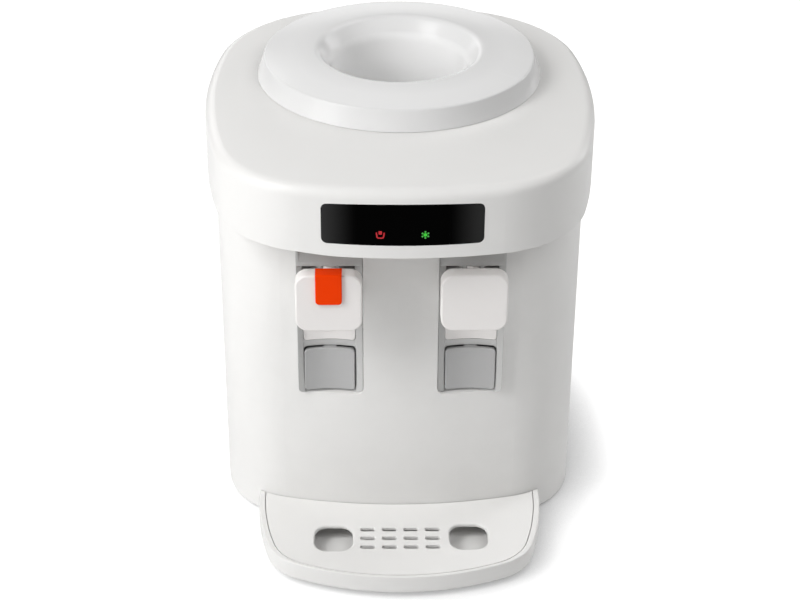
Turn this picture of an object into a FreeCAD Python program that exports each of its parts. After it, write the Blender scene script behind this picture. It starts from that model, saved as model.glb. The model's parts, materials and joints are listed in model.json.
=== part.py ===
import FreeCAD, Part
import math
import os

# Countertop water dispenser with a hot and a cold tap. All sizes are in millimetres.
# X runs to the right, Y to the back and Z up. While it is modelled, Y is zero at the widest section of
# the housing; every node is saved with its Y counted from the middle of the whole footprint instead.

Vec = FreeCAD.Vector

# Clearances
gap = 0.3                    # between pieces that are set beside each other
runFit = 0.05                # radial clearance of a turning or sliding shaft
wall = 2.5                   # moulded housing wall

# Bonnet: the deep top cover, seen from above
halfWidth = 150.0
bonnetFront = 171.0
bonnetBack = 168.0
frontArc = 334.0
sideArc = 410.0
backArc = 350.0
frontCorner = 86.0
backCorner = 112.0
bonnetHeight = 55.9          # from the skirt's edge to the highest point of the crowned top
crownRadius = 6000.0
bonnetEdge = 8.0             # rounding of the top edge
skirtLap = 9.5               # how far the skirt hangs below the top of the body
skirtEdge = 0.6              # rounding of the skirt's lower edge

# Body below the bonnet
sideStep = 6.0               # how far the body stands in from the bonnet
bodyFront = 117.0
bodyFrontArc = 390.0
bodyFrontCorner = 65.0
footHeight = 3.0
bodyTop = 290.0
flangeWidth = 8.0
rearPanelY = 150.0           # outer face of the flat rear panel
rearHalf = 74.0
rearThickness = 2.0
baseThickness = 3.0
baseRim = 9.0
footRadius = 11.0
footX = 95.0
footY = 75.0

# Bottle collar
collarY = 30.0
throatRadius = 54.0
lipSpread = 10.0             # how much wider the funnel's lip is than the throat
rimWidth = 42.0              # from the lip to the top's outer edge
rimSlope = 5.3               # how far the outer face runs out from there to the foot
skirtWidth = 24.0            # from the lip to the skirt that enters the bonnet
collarRise = 15.1            # of the top's outer edge above the bonnet
lipRise = 4.5
funnelDepth = 13.5
neckLength = 44.5
collarWall = 2.2

# Indicator panel
panelHalf = 57.6
panelLift = 10.7             # of its bottom edge above the skirt's edge
panelHeight = 30.0           # at its ends
panelBow = 3.1               # how much higher it is in the middle
panelThickness = 1.6
panelCorner = 4.0
windowMargin = 7.0
lampX = 16.0
lampLift = 8.3
lampRadius = 2.5
boardThickness = 1.6
boardY = -158.0
plugHalf = 8.0               # of the connector on the indicator board
plugHeight = 6.0
chipX = 18.0
chipWidth = 10.0
chipHeight = 8.0
chipThickness = 1.6

# Taps
tapX = 54.0
frameFace = -114.5
frameBack = -107.5
frameWidth = 50.0
frameDrop = 28.0             # of its top below the top of the body
frameHeight = 135.2
frameCorner = 5.0
frameEdge = 0.4              # rounding of its front edges
windowWidth = 38.6
troughRadius = 65.0
troughDepth = 5.0
crossbarLift = 48.0          # of the crossbar's top above the frame's bottom
crossbarHeight = 8.2
slotHeight = 5.2
ledgeDepth = 17.4            # of the ledge's top below the frame's top
ledgeHeight = 3.4
channelDepth = 2.5
channelRail = 2.0
postWidth = 3.0
tabWidth = 9.8
sillHeight = 1.4             # of the frame under the paddle
paddleGap = 1.1
paddleSide = 0.5
paddleThickness = 2.4
paddleEdge = 0.7             # rounding of its front edges
pocketWall = 1.0
pocketBack = -97.0
pivotY = -102.0
pivotDrop = 3.8              # below the crossbar's top
hubRadius = 3.6
pinRadius = 1.5
earGap = 9.0                 # half the space between the two ears
earThickness = 3.0
stemY = -89.0
stemRadius = 2.0
stemLift = 1.5               # of its foot above the crossbar's top
padRadius = 3.0
plateEdge = 0.3              # rounding of the tap plate's front edges
valveHalf = 11.0
valveLift = 25.2             # of the valve body above the crossbar's top
valveHeight = 40.0
seatLift = 19.5              # heights above the valve body's bottom
chamberRadius = 8.0
seatRadius = 4.5
outletLift = 14.0
outletRadius = 3.2
inletLift = 31.0
spigotRadius = 4.0
spigotBore = 2.8
spigotLength = 10.0
nozzleY = -143.5
nozzleRadius = 6.0
nozzleLift = 2.5
capFace = -152.0
capBack = -141.7
capWidth = 50.0
capLift = 7.5
capHeight = 47.5
capCorner = 9.5
capWall = 2.0
capDraft = 0.3
neckHalf = 19.0              # of the block that carries the cap
neckFront = -148.0
lockWidth = 20.0
lockFront = 1.8
lockTop = 1.0
lockLength = 23.6            # from the cap's top down
lockBack = -143.5
guideHalf = 6.0              # of the tongue that runs in a slot in the cap
guideThickness = 2.0
guideLength = 15.0

# Drip tray
trayHalf = 113.5
trayFront = 210.0
trayFrontArc = 200.0
traySideArc = 220.0
trayCorner = 40.0
traySideY = -104.0
trayBottom = 4.5
trayTop = 21.0
trayWall = 2.2
trayEdge = 3.5
trayRimSide = 4.7
trayRimFront = 2.4
trayTopEdge = 1.0            # rounding of the rim's outer edge
trayGap = 0.4
grilleThickness = 2.6
ledgeDrop = 3.0
tongueX = 62.0
tongueHalf = 10.0
tongueBottom = 8.5
tongueTop = 13.0
tongueReach = 9.0
holeX = 53.5
holeY = -161.0
holeLength = 30.0
holeWidth = 28.0
holeCorner = 10.0
holeEdge = 1.5               # rounding of the finger holes' upper edges
slotLength = 10.5
slotWidth = 3.4
slotPitchX = 17.05
slotPitchY = 11.1
slotColumns = 4
slotRows = 3
slotEdge = 0.7

# Cold side
tankWall = 1.5
tankLift = 20.0              # of its bottom above the shelf
tankDrop = 14.4              # of its top below the bonnet's
tankRim = 6.0
lidThickness = 3.0
lidSpigot = 1.7              # the part of the lid that enters the tank
sealWidth = 2.0
foam = 16.0
shelfDrop = 102.0            # of the shelf below the top of the body
shelfThickness = 2.0
baffleLift = 54.0
baffleThickness = 1.6
baffleCircle = 40.0          # radius of the circle of its holes
baffleHole = 4.0
feedX = 40.0
coolLift = 24.0              # of the cold block, the heat sink and the fan above the tank's bottom
blockHalf = 25.0
blockDepth = 11.0
moduleHalf = 20.0
moduleDepth = 4.0
sinkHalf = 40.0
sinkBase = 4.0
sinkGap = 2.0                # between the fins and the fan
finCount = 13
finThickness = 1.4
fanHalf = 40.0
fanDepth = 15.0
fanBore = 37.5
hubFan = 14.0
bladeReach = 36.3
bladeCount = 7
fanShaft = 1.5
strutWidth = 4.0

# Hot side
hotX = -45.0
hotRadius = 42.0
hotWall = 1.2
hotBottom = 36.0
hotTop = 148.0
hotEdge = 3.0
hotPort = 34.0               # how far its outlet is in front of its axis
hotFeedZ = 62.0
drainZ = 50.0
bandBottom = 80.0
bandTop = 115.0
bandThickness = 3.0
standRing = 2.0
standHeight = 8.0
legRadius = 4.0
thermostatRadius = 8.0
thermostatDepth = 7.0

# Hoses
hoseWall = 2.0
hoseRoom = 1.0               # between a hose and what it passes

# Rear fittings
ventPitch = 8.0
ventRoom = 20.0              # between the vents and the fan's grille
ventHeight = 3.2
rearFittingInset = 22.0      # of the vents' ends and the switches' middle from the panel's side
ventBottom = 118.0
grillePitch = 6.4
grilleSlot = 3.6
switchLowZ = 66.0
switchPitch = 30.0
rockerHalf = 6.0
rockerHeight = 9.5
bezelMargin = 2.5
bezelDepth = 2.0
bezelEdge = 0.5
switchDepth = 18.0
rockerTilt = 8.0
inletPlateZ = 32.0
inletHalf = 18.0
inletHeight = 11.0
inletDepth = 2.5
socketHalf = 12.0
socketHeight = 8.0
socketDepth = 15.0
pinHalf = 1.0
drainRadius = 7.0
drainReach = 9.0
drainCapRadius = 10.0
drainCapEdge = 0.8
screwHead = 3.2
screwHeadHeight = 2.0
screwShank = 1.5
screwLength = 8.0
lowScrewLift = 22.0          # above the bottom of the body
topScrewDrop = 15.0

# Power board
boardInset = 30.0            # of its outer end from the housing's widest point
boardLength = 68.0
boardFrontY = -60.0
boardBackY = 40.0
boardPost = 12.0
postRadius = 3.5
partInset = 8.0              # of the parts on the board from its ends
coilWidth = 30.0
coilHeight = 26.0
coilFront = -44.0
coreMargin = 6.0
coreReach = 4.0
coreHeight = 20.0
relayX = 46.0
relayWidth = 16.0
relayLength = 20.0
relayHeight = 15.0
relayFront = -40.0
socketWidth = 20.0
socketLength = 10.0
socketRise = 12.0
socketFront = 22.0
canX = 48.0
canY = 4.0
canPitch = 11.0
canRadius = 5.0
canHeight = 20.0
coolerFins = 5
coolerPitch = 5.0
coolerFin = 1.5
coolerLength = 18.0
coolerPlate = 2.0
coolerHeight = 18.0

# Base plate's vents
baseVentHalf = 35.0
baseVentPitch = 9.0
baseVentWidth = 3.5
baseVentRows = 5
baseVentBack = 83.0

# Sizes that follow from those above
footprintShift = (trayFront - bonnetBack) / 2
bodyBottom = footHeight
baseTop = bodyBottom + baseThickness
bonnetBottom = bodyTop - skirtLap
crownTop = bonnetBottom + bonnetHeight
lipRadius = throatRadius + lipSpread
collarRim = lipRadius + rimWidth
collarFoot = collarRim + rimSlope
collarSkirt = lipRadius + skirtWidth
collarTop = crownTop + collarRise
lipTop = collarTop + lipRise
throatTop = lipTop - funnelDepth
neckBottom = throatTop - neckLength
panelBottom = bonnetBottom + panelLift
panelSide = panelBottom + panelHeight
panelCrown = panelSide + panelBow
lampZ = panelBottom + lampLift
frameTop = bodyTop - frameDrop
frameBottom = frameTop - frameHeight
ledgeTop = frameTop - ledgeDepth
ledgeBottom = ledgeTop - ledgeHeight
slotBottom = ledgeBottom - slotHeight
crossbarTop = frameBottom + crossbarLift
crossbarBottom = crossbarTop - crossbarHeight
pivotZ = crossbarTop - pivotDrop
stemBottom = crossbarTop + stemLift
valveBottom = crossbarTop + valveLift
valveTop = valveBottom + valveHeight
seatZ = valveBottom + seatLift
outletZ = valveBottom + outletLift
inletZ = valveBottom + inletLift
nozzleBottom = valveBottom + nozzleLift
capBottom = valveBottom + capLift
capTop = capBottom + capHeight
lockBottom = capTop - lockLength
guideBottom = capTop - guideLength
shelfTop = bodyTop - shelfDrop
tankBottom = shelfTop + tankLift
tankTop = crownTop - tankDrop
tankRadius = throatRadius + collarWall + sealWidth + lidSpigot + 2 * gap + tankWall
tankFlange = tankRadius + tankRim
baffleZ = tankBottom + baffleLift
coolZ = tankBottom + coolLift
ventRows = int((coolZ - fanBore - ventRoom - ventBottom) / ventPitch)
bonnetPlan = dict(half=halfWidth, front=bonnetFront, back=bonnetBack, frontArc=frontArc, sideArc=sideArc,
                  backArc=backArc, frontCorner=frontCorner, backCorner=backCorner)
bodyPlan = dict(half=halfWidth - sideStep, front=bodyFront, back=bonnetBack - sideStep,
                frontArc=bodyFrontArc, sideArc=sideArc - sideStep, backArc=backArc - sideStep,
                frontCorner=bodyFrontCorner, backCorner=backCorner - sideStep)
rearInner = rearPanelY - rearThickness
ventHalf = rearHalf - rearFittingInset
switchX = rearHalf - rearFittingInset
inletX = rearHalf - flangeWidth - inletHalf
tankRear = collarY + tankRadius
moduleY = tankRear + blockDepth
sinkY = moduleY + moduleDepth
fanY = rearInner - fanDepth
finHeight = fanY - sinkGap - sinkY - sinkBase
troughCentre = frameFace + troughDepth - troughRadius
hoseOuter = spigotRadius + hoseWall
foamRadius = tankRadius + gap + foam
hotPortY = collarY - math.sqrt((foamRadius + hoseOuter + hoseRoom) ** 2 - tapX ** 2)
hotY = hotPortY + hotPort
feedY = hotY
boardEndX = halfWidth - boardInset
boardX = boardEndX - boardLength
valveBack = stemY + valveHalf + 0.5
neckTop = slotBottom - gap
boardZ = baseTop + boardPost


# Simple shapes
def box(x0, x1, y0, y1, z0, z1):
    low = Vec(min(x0, x1), min(y0, y1), min(z0, z1))
    return Part.makeBox(abs(x1 - x0), abs(y1 - y0), abs(z1 - z0), low)


def rodX(x0, x1, y, z, radius):
    return Part.makeCylinder(radius, abs(x1 - x0), Vec(min(x0, x1), y, z), Vec(1, 0, 0))


def rodY(x, y0, y1, z, radius):
    return Part.makeCylinder(radius, abs(y1 - y0), Vec(x, min(y0, y1), z), Vec(0, 1, 0))


def rodZ(x, y, z0, z1, radius):
    return Part.makeCylinder(radius, abs(z1 - z0), Vec(x, y, min(z0, z1)))


def fused(first, *others):
    return first.fuse(list(others)).removeSplitter() if others else first


def moved(shape, x=0.0, y=0.0, z=0.0):
    copy = shape.copy()
    copy.translate(Vec(x, y, z))
    return copy


def extruded(edges, direction):
    return Part.Face(Part.Wire(edges)).extrude(direction)


def roundedEdges(corners, place):
    """Edges of a closed outline with its corners (u, v, radius) rounded; place puts (u, v) in space."""
    starts = []
    middles = []
    ends = []
    count = len(corners)
    for i, (u, v, radius) in enumerate(corners):
        before = Vec(corners[i - 1][0] - u, corners[i - 1][1] - v, 0).normalize()
        after = Vec(corners[(i + 1) % count][0] - u, corners[(i + 1) % count][1] - v, 0).normalize()
        half = before.getAngle(after) / 2
        reach = radius / math.tan(half)
        inward = (before + after).normalize() * (radius / math.sin(half) - radius)
        here = Vec(u, v, 0)
        starts.append(here + before * reach)
        middles.append(here + inward)
        ends.append(here + after * reach)
    edges = []
    for i in range(count):
        if corners[i][2] > 0:
            arc = Part.Arc(place(starts[i]), place(middles[i]), place(ends[i]))
            edges.append(arc.toShape())
        following = starts[(i + 1) % count]
        if (following - ends[i]).Length > 1e-6:
            edges.append(Part.makeLine(place(ends[i]), place(following)))
    return edges


def slabXZ(x0, x1, z0, z1, y0, y1, radius, lower=None):
    """A plate with rounded corners that faces the front; lower rounds the bottom corners by another radius."""
    low = radius if lower is None else lower
    corners = [(x0, z0, low), (x1, z0, low), (x1, z1, radius), (x0, z1, radius)]
    edges = roundedEdges(corners, lambda p: Vec(p.x, y0, p.y))
    return extruded(edges, Vec(0, y1 - y0, 0))


def slabXY(x0, x1, y0, y1, z0, z1, radius):
    corners = [(x0, y0, radius), (x1, y0, radius), (x1, y1, radius), (x0, y1, radius)]
    edges = roundedEdges(corners, lambda p: Vec(p.x, p.y, z0))
    return extruded(edges, Vec(0, 0, z1 - z0))


def sideProfile(points, x0, x1):
    """A profile given by (y, z, radius), carried from x0 to x1."""
    edges = roundedEdges(points, lambda p: Vec(x0, p.x, p.y))
    return extruded(edges, Vec(x1 - x0, 0, 0))


def turned(points, x, y):
    """A profile given by (r, z, radius), turned about a vertical axis."""
    edges = roundedEdges(points, lambda p: Vec(x + p.x, y, p.y))
    return Part.Face(Part.Wire(edges)).revolve(Vec(x, y, 0), Vec(0, 0, 1), 360)


def ringZ(x, y, z0, z1, inner, outer):
    return rodZ(x, y, z0, z1, outer).cut(rodZ(x, y, z0 - 1, z1 + 1, inner))


def roundedAt(shape, radius, z=None, y=None):
    """The shape with all its edges that lie in one level plane, or one facing plane, rounded."""
    edges = []
    for edge in shape.Edges:
        bounds = edge.BoundBox
        low, high, plane = (bounds.ZMin, bounds.ZMax, z) if y is None else (bounds.YMin, bounds.YMax, y)
        if abs(low - plane) < 0.01 and abs(high - plane) < 0.01:
            edges.append(edge)
    return shape.makeFillet(radius, edges)


# Plans made of tangent arcs
def circlesMeet(a, radiusA, b, radiusB, back):
    """Where two circles cross, on the right, at the front or the back."""
    apart = b - a
    distance = apart.Length
    along = (radiusA ** 2 - radiusB ** 2 + distance ** 2) / (2 * distance)
    off = math.sqrt(radiusA ** 2 - along ** 2)
    direction = apart * (1 / distance)
    normal = Vec(-direction.y, direction.x, 0)
    one = a + direction * along + normal * off
    two = a + direction * along - normal * off
    higher = one if one.y > two.y else two
    lower = two if one.y > two.y else one
    return higher if back else lower


def flipped(point):
    return Vec(-point.x, point.y, point.z)


def cornerArc(centre, radius, a, b):
    """Start, middle and end of a corner's arc that runs on from the arcs about a and b."""
    first = centre + (centre - a).normalize() * radius
    last = centre + (centre - b).normalize() * radius
    middle = centre + ((first - centre) + (last - centre)).normalize() * radius
    return first, middle, last


def planEdges(plan, inset, z):
    """The closed outline of the housing, set in by inset all round."""
    frontCentre = Vec(0, plan["frontArc"] - plan["front"], 0)
    sideCentre = Vec(plan["half"] - plan["sideArc"], 0, 0)
    backCentre = Vec(0, plan["back"] - plan["backArc"], 0)
    lift = Vec(0, 0, z)
    right = []
    for centre, arc, corner, back in ((frontCentre, plan["frontArc"], plan["frontCorner"], False),
                                      (backCentre, plan["backArc"], plan["backCorner"], True)):
        middle = circlesMeet(centre, arc - corner, sideCentre, plan["sideArc"] - corner, back)
        right.append(cornerArc(middle, corner - inset, centre, sideCentre))
    (frontStart, frontMiddle, frontEnd), (backStart, backMiddle, backEnd) = right
    side = Vec(plan["half"] - inset, 0, 0)
    arcs = [
        (flipped(frontStart), Vec(0, inset - plan["front"], 0), frontStart),
        (frontStart, frontMiddle, frontEnd),
        (frontEnd, side, backEnd),
        (backEnd, backMiddle, backStart),
        (backStart, Vec(0, plan["back"] - inset, 0), flipped(backStart)),
        (flipped(backStart), flipped(backMiddle), flipped(backEnd)),
        (flipped(backEnd), flipped(side), flipped(frontEnd)),
        (flipped(frontEnd), flipped(frontMiddle), flipped(frontStart)),
    ]
    return [Part.Arc(a + lift, b + lift, c + lift).toShape() for a, b, c in arcs]


def planBlock(plan, inset, z0, z1):
    return extruded(planEdges(plan, inset, z0), Vec(0, 0, z1 - z0))


def sideX(plan, inset, y):
    """Half-width of a plan at a place on its side arc."""
    return plan["half"] - plan["sideArc"] + math.sqrt((plan["sideArc"] - inset) ** 2 - y ** 2)


def frontY(plan, inset, x):
    """Y of a plan's front arc at x."""
    return plan["frontArc"] - plan["front"] - math.sqrt((plan["frontArc"] - inset) ** 2 - x ** 2)


def trayBlock(inset, insetFront, z0, z1):
    """The tray's plan, carried back far enough to be cut by the body's front."""
    half = trayHalf - inset
    front = trayFront - insetFront
    sideCentre = Vec(half - traySideArc, traySideY, 0)
    frontCentre = Vec(0, trayFrontArc - front, 0)
    corner = circlesMeet(frontCentre, trayFrontArc - trayCorner, sideCentre, traySideArc - trayCorner, False)
    start, middle, end = cornerArc(corner, trayCorner, frontCentre, sideCentre)
    side = Vec(half, traySideY, 0)
    back = Vec(half, bodyPlan["front"] * -0.4, 0)
    turn = (end - sideCentre).normalize() + (side - sideCentre).normalize()
    sideMiddle = sideCentre + turn.normalize() * traySideArc
    edges = [
        Part.Arc(flipped(start), Vec(0, -front, 0), start).toShape(),
        Part.Arc(start, middle, end).toShape(),
        Part.Arc(end, sideMiddle, side).toShape(),
        Part.makeLine(side, back),
        Part.makeLine(back, flipped(back)),
        Part.makeLine(flipped(back), flipped(side)),
        Part.Arc(flipped(side), flipped(sideMiddle), flipped(end)).toShape(),
        Part.Arc(flipped(end), flipped(middle), flipped(start)).toShape(),
    ]
    block = extruded(edges, Vec(0, 0, z1 - z0))
    return moved(block, z=z0)


def crown(drop):
    """Everything under the bonnet's crowned top, or under a like surface that lies lower by drop."""
    ball = Part.makeSphere(crownRadius - drop, Vec(0, collarY, crownTop - crownRadius))
    reach = 2 * halfWidth
    return ball.common(box(-reach, reach, -reach, reach, 0, crownTop + 1))


def crownAt(radius, drop=0.0):
    """Height of the crowned top at a distance from the collar's axis."""
    return crownTop - crownRadius + math.sqrt((crownRadius - drop) ** 2 - radius ** 2)


# Housing
def bodyOpening(reach):
    """The room behind the flat rear panel, which is let into the body's curved back."""
    return box(-rearHalf, rearHalf, rearPanelY, rearPanelY + reach, 0, 2 * bodyTop)


def frameWindow(clearance, y0, y1):
    half = frameWidth / 2 + clearance
    return slabXZ(-half, half, frameBottom - clearance, frameTop + clearance, y0, y1,
                  frameCorner / 2 + clearance, frameCorner + clearance)


def frameLugs():
    """Heights of the two lugs that hold a tap frame to the body."""
    return (frameBottom - screwHead - 2, frameTop + screwHead + 2)


def makeBodyShell():
    solid = planBlock(bodyPlan, 0, bodyBottom, bodyTop)
    shell = solid.cut(planBlock(bodyPlan, wall, bodyBottom - 1, bodyTop + 1))
    rim = planBlock(bodyPlan, 0, bodyTop - wall, bodyTop)
    rim = rim.cut(planBlock(bodyPlan, wall + flangeWidth, bodyTop - wall - 1, bodyTop + 1))
    flangeY = rearInner - wall
    rearCut = box(-rearHalf, rearHalf, flangeY, 2 * halfWidth, 0, 2 * bodyTop)
    shell = fused(shell, rim).cut(rearCut)
    for side in (-1, 1):
        jamb = box(side * rearHalf, side * (rearHalf + wall), flangeY, 2 * halfWidth, bodyBottom, bodyTop)
        flange = box(side * (rearHalf - flangeWidth), side * (rearHalf + wall), flangeY, rearInner,
                     bodyBottom, bodyTop)
        shell = fused(shell, jamb.common(solid), flange)
        for ledgeY in (-footY, footY):
            inner = sideX(bodyPlan, wall, 0) - flangeWidth
            ledge = box(side * inner, side * halfWidth, ledgeY - flangeWidth, ledgeY + flangeWidth,
                        shelfTop - shelfThickness - flangeWidth, shelfTop - shelfThickness)
            reachIn = sideX(bodyPlan, wall, ledgeY) - flangeWidth
            ledge = fused(ledge, box(side * reachIn, side * inner, ledgeY - flangeWidth, ledgeY + flangeWidth,
                                     shelfTop - shelfThickness - wall, shelfTop - shelfThickness))
            shell = fused(shell, ledge.common(solid))
        for height in frameLugs():
            start = frontY(bodyPlan, wall / 2, tapX + screwHead)
            shell = fused(shell, rodY(side * tapX, start, frameBack, height, screwHead + 1))
        window = moved(frameWindow(gap, -bonnetFront, frameBack + wall), x=side * tapX)
        shell = shell.cut(window)
        for height in frameLugs():
            shell = shell.cut(rodY(side * tapX, frameBack - 3, frameBack + 1, height, screwShank - gap))
        for height in rearScrewHeights():
            hole = rodY(side * rearScrewX(), flangeY - 1, rearInner + 1, height, screwShank)
            shell = shell.cut(hole)
        shell = shell.cut(box(side * (tongueX - tongueHalf - trayGap), side * (tongueX + tongueHalf + trayGap),
                              -bonnetFront, -bodyFront / 2, tongueBottom - trayGap, tongueTop + trayGap))
        for bossX, bossY in bonnetBosses():
            shell = shell.cut(rodZ(side * bossX, bossY, bodyTop - wall - 1, bodyTop + 1, screwShank + gap))
    return shell


def bonnetBosses():
    """Places, on the right, of the bosses that stand on the body's top flange."""
    inset = wall + flangeWidth / 2
    return [(sideX(bodyPlan, inset, y), y) for y in (-footY / 2, footY)]


def rearScrewX():
    return rearHalf - flangeWidth / 2


def rearScrewHeights():
    return (bodyBottom + lowScrewLift, (bodyBottom + bodyTop) / 2, bodyTop - topScrewDrop)


def panelShape(inset, y0, y1):
    """The indicator panel's outline, with its top edge bowed upwards, from y0 to y1."""
    half = panelHalf - inset
    radius = max(panelCorner - inset, 0.5)
    low = panelBottom + inset
    side = panelSide - inset
    rise = panelCrown - panelSide
    bow = (half ** 2 + rise ** 2) / (2 * rise)
    block = slabXZ(-half, half, low, side + 2 * rise, y0, y1, radius, radius)
    disc = rodY(0, y0 - 1, y1 + 1, side + rise - bow, bow)
    corners = slabXZ(-half, half, low, side + rise * 0.35, y0, y1, radius, radius)
    middle = slabXZ(-half + radius, half - radius, low, side + 2 * rise, y0, y1, radius / 4, radius / 4)
    return fused(corners.common(disc), middle.common(disc).common(block))


def makeBonnet():
    solid = planBlock(bonnetPlan, 0, bonnetBottom, crownTop + 5).common(crown(0))
    topEdges = [e for e in solid.Edges if e.BoundBox.ZMin > (bonnetBottom + crownTop) / 2
                and e.BoundBox.ZLength < 10 and e.BoundBox.ZMax < crownTop - 0.2]
    solid = roundedAt(solid.makeFillet(bonnetEdge, topEdges), skirtEdge, z=bonnetBottom)
    inner = planBlock(bonnetPlan, wall, bonnetBottom - 1, crownTop + 5).common(crown(wall))
    shell = solid.cut(inner)
    shell = shell.cut(rodZ(0, collarY, bonnetBottom, crownTop + 5, collarSkirt + gap))
    recess = panelShape(-gap / 2, -bonnetFront - 5, -bonnetFront / 2)
    recess = recess.cut(planBlock(bonnetPlan, panelThickness, 0, 2 * bodyTop))
    shell = shell.cut(recess)
    shell = shell.cut(slabXZ(windowMargin - panelHalf, panelHalf - windowMargin, panelBottom + windowMargin / 2,
                             panelSide - windowMargin / 2, -bonnetFront - 5, -bonnetFront / 2, 2))
    for side in (-1, 1):
        for bossX, bossY in bonnetBosses():
            reach = math.hypot(bossX, bossY - collarY)
            boss = rodZ(side * bossX, bossY, bodyTop, crownAt(reach) - wall / 2, flangeWidth / 2)
            boss = boss.cut(rodZ(side * bossX, bossY, bodyTop - 1, bodyTop + screwLength + 2, screwShank))
            shell = fused(shell, boss.common(solid))
        post = rodY(side * boardPostX(), frontY(bonnetPlan, wall - 0.5, boardPostX() + 3), boardY, boardMiddle(), 3)
        shell = fused(shell, post)
    return shell


def boardPostX():
    return panelHalf - windowMargin / 2


def boardMiddle():
    return (panelBottom + panelSide) / 2


def makeUndersidePlate():
    low = bonnetBottom + wall
    plate = planBlock(bonnetPlan, wall, low, low + wall)
    body = planBlock(bodyPlan, -gap, low - 1, low + wall + 1)
    body = body.cut(box(gap - rearHalf, rearHalf - gap, rearPanelY + gap, 2 * halfWidth, 0, 2 * bodyTop))
    return plate.cut(body)


def makeRearPanel():
    half = rearHalf - gap
    panel = box(-half, half, rearInner, rearPanelY, bodyBottom, bodyTop)
    for row in range(ventRows):
        low = ventBottom + row * ventPitch
        panel = panel.cut(slabXZ(-ventHalf, ventHalf, low, low + ventHeight, rearInner - 1, rearPanelY + 1, 1.2))
        hood = sideProfile([(rearPanelY - 0.5, low + ventHeight, 0), (rearPanelY + 2, low + ventHeight - 1.4, 0),
                            (rearPanelY + 2, low + ventHeight - 0.4, 0), (rearPanelY - 0.5, low + ventHeight + 1.6, 0)],
                           -ventHalf, ventHalf)
        panel = fused(panel, hood)
    rows = int((fanBore - grilleSlot / 2) / grillePitch)
    for row in range(-rows, rows + 1):
        middle = coolZ + row * grillePitch
        chord = math.sqrt(fanBore ** 2 - (row * grillePitch) ** 2) - 1.5
        panel = panel.cut(slabXZ(-chord, chord, middle - grilleSlot / 2, middle + grilleSlot / 2,
                                 rearInner - 1, rearPanelY + 1, 1.8))
    panel = fused(panel, box(-1.5, 1.5, rearInner, rearPanelY, coolZ - fanBore, coolZ + fanBore))
    for row in range(2):
        middle = switchLowZ + row * switchPitch
        panel = panel.cut(box(switchX - rockerHalf - 1.2 - gap, switchX + rockerHalf + 1.2 + gap, rearInner - 1,
                              rearPanelY + 1, middle - rockerHeight - 1.2 - gap, middle + rockerHeight + 1.2 + gap))
    panel = panel.cut(box(inletX - socketHalf - 1.5 - gap, inletX + socketHalf + 1.5 + gap, rearInner - 1,
                          rearPanelY + 1, inletPlateZ - socketHeight - 1.5 - gap,
                          inletPlateZ + socketHeight + 1.5 + gap))
    panel = panel.cut(rodY(hotX, rearInner - 1, rearPanelY + 1, drainZ, drainRadius + gap))
    for side in (-1, 1):
        for height in rearScrewHeights():
            panel = panel.cut(rodY(side * rearScrewX(), rearInner - 1, rearPanelY + 1, height, screwShank + gap))
    return panel


def makeRearScrews():
    screws = []
    for side in (-1, 1):
        for height in rearScrewHeights():
            head = rodY(side * rearScrewX(), rearPanelY, rearPanelY + screwHeadHeight, height, screwHead)
            shank = rodY(side * rearScrewX(), rearPanelY - screwLength, rearPanelY, height, screwShank - 0.05)
            slot = box(side * rearScrewX() - screwHead, side * rearScrewX() + screwHead,
                       rearPanelY + screwHeadHeight / 2, rearPanelY + screwHeadHeight + 1,
                       height - 0.5, height + 0.5)
            screws.append(fused(head, shank).cut(slot))
    return Part.makeCompound(screws)


def makeBasePlate():
    inset = wall + gap
    plate = planBlock(bodyPlan, inset, bodyBottom, baseTop + baseRim)
    room = planBlock(bodyPlan, inset + wall, baseTop, baseTop + baseRim + 1)
    rear = rearInner - wall - gap
    plate = plate.cut(room.cut(box(-halfWidth, halfWidth, rear - wall, 2 * halfWidth, 0, 2 * bodyTop)))
    plate = plate.cut(box(-halfWidth, halfWidth, rear, 2 * halfWidth, 0, 2 * bodyTop))
    for side in (-1, 1):
        plate = plate.cut(box(side * (tongueX - tongueHalf - 1), side * (tongueX + tongueHalf + 1), -bonnetFront,
                              -bodyFront / 2, tongueBottom - 1, baseTop + baseRim + 1))
        for footLine in (-footY, footY):
            plate = plate.cut(rodZ(side * footX, footLine, bodyBottom - 1, baseTop + 1, footRadius / 3))
    for row in range(baseVentRows):
        y = baseVentBack - row * baseVentPitch
        plate = plate.cut(slabXY(-baseVentHalf, baseVentHalf, y, y + baseVentWidth, bodyBottom - 1, baseTop + 1,
                                 baseVentWidth / 2 - 0.2))
    for x in (boardX + 5, boardEndX - 5):
        for y in (boardFrontY + 5, boardBackY - 5):
            plate = fused(plate, rodZ(x, y, bodyBottom, boardZ, postRadius))
    return plate


def makeFeet():
    feet = []
    for side in (-1, 1):
        for footLine in (-footY, footY):
            pad = turned([(0, 0, 0), (footRadius - 1, 0, 0), (footRadius, 1, 0), (footRadius, footHeight, 0),
                          (footRadius / 3 - gap, footHeight, 0), (footRadius / 3 - gap, baseTop + 1.5, 0),
                          (0, baseTop + 1.5, 0)], side * footX, footLine)
            feet.append(pad)
    return Part.makeCompound(feet)


def makeShelf():
    low = shelfTop - shelfThickness
    shelf = planBlock(bodyPlan, wall + gap, low, shelfTop)
    shelf = shelf.cut(box(-halfWidth, halfWidth, rearInner - wall - gap, 2 * halfWidth, 0, 2 * bodyTop))
    for side in (-1, 1):
        shelf = shelf.cut(box(side * (tapX - frameWidth / 2), side * (tapX + frameWidth / 2), -bonnetFront,
                              stemY + valveHalf + 2, low - 1, shelfTop + 1))
    shelf = shelf.cut(rodZ(-tapX, hotPortY, low - 1, shelfTop + 1, hoseOuter + 1))
    return shelf.cut(rodZ(feedX, feedY, low - 1, shelfTop + 1, hoseOuter + 1))


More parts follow.
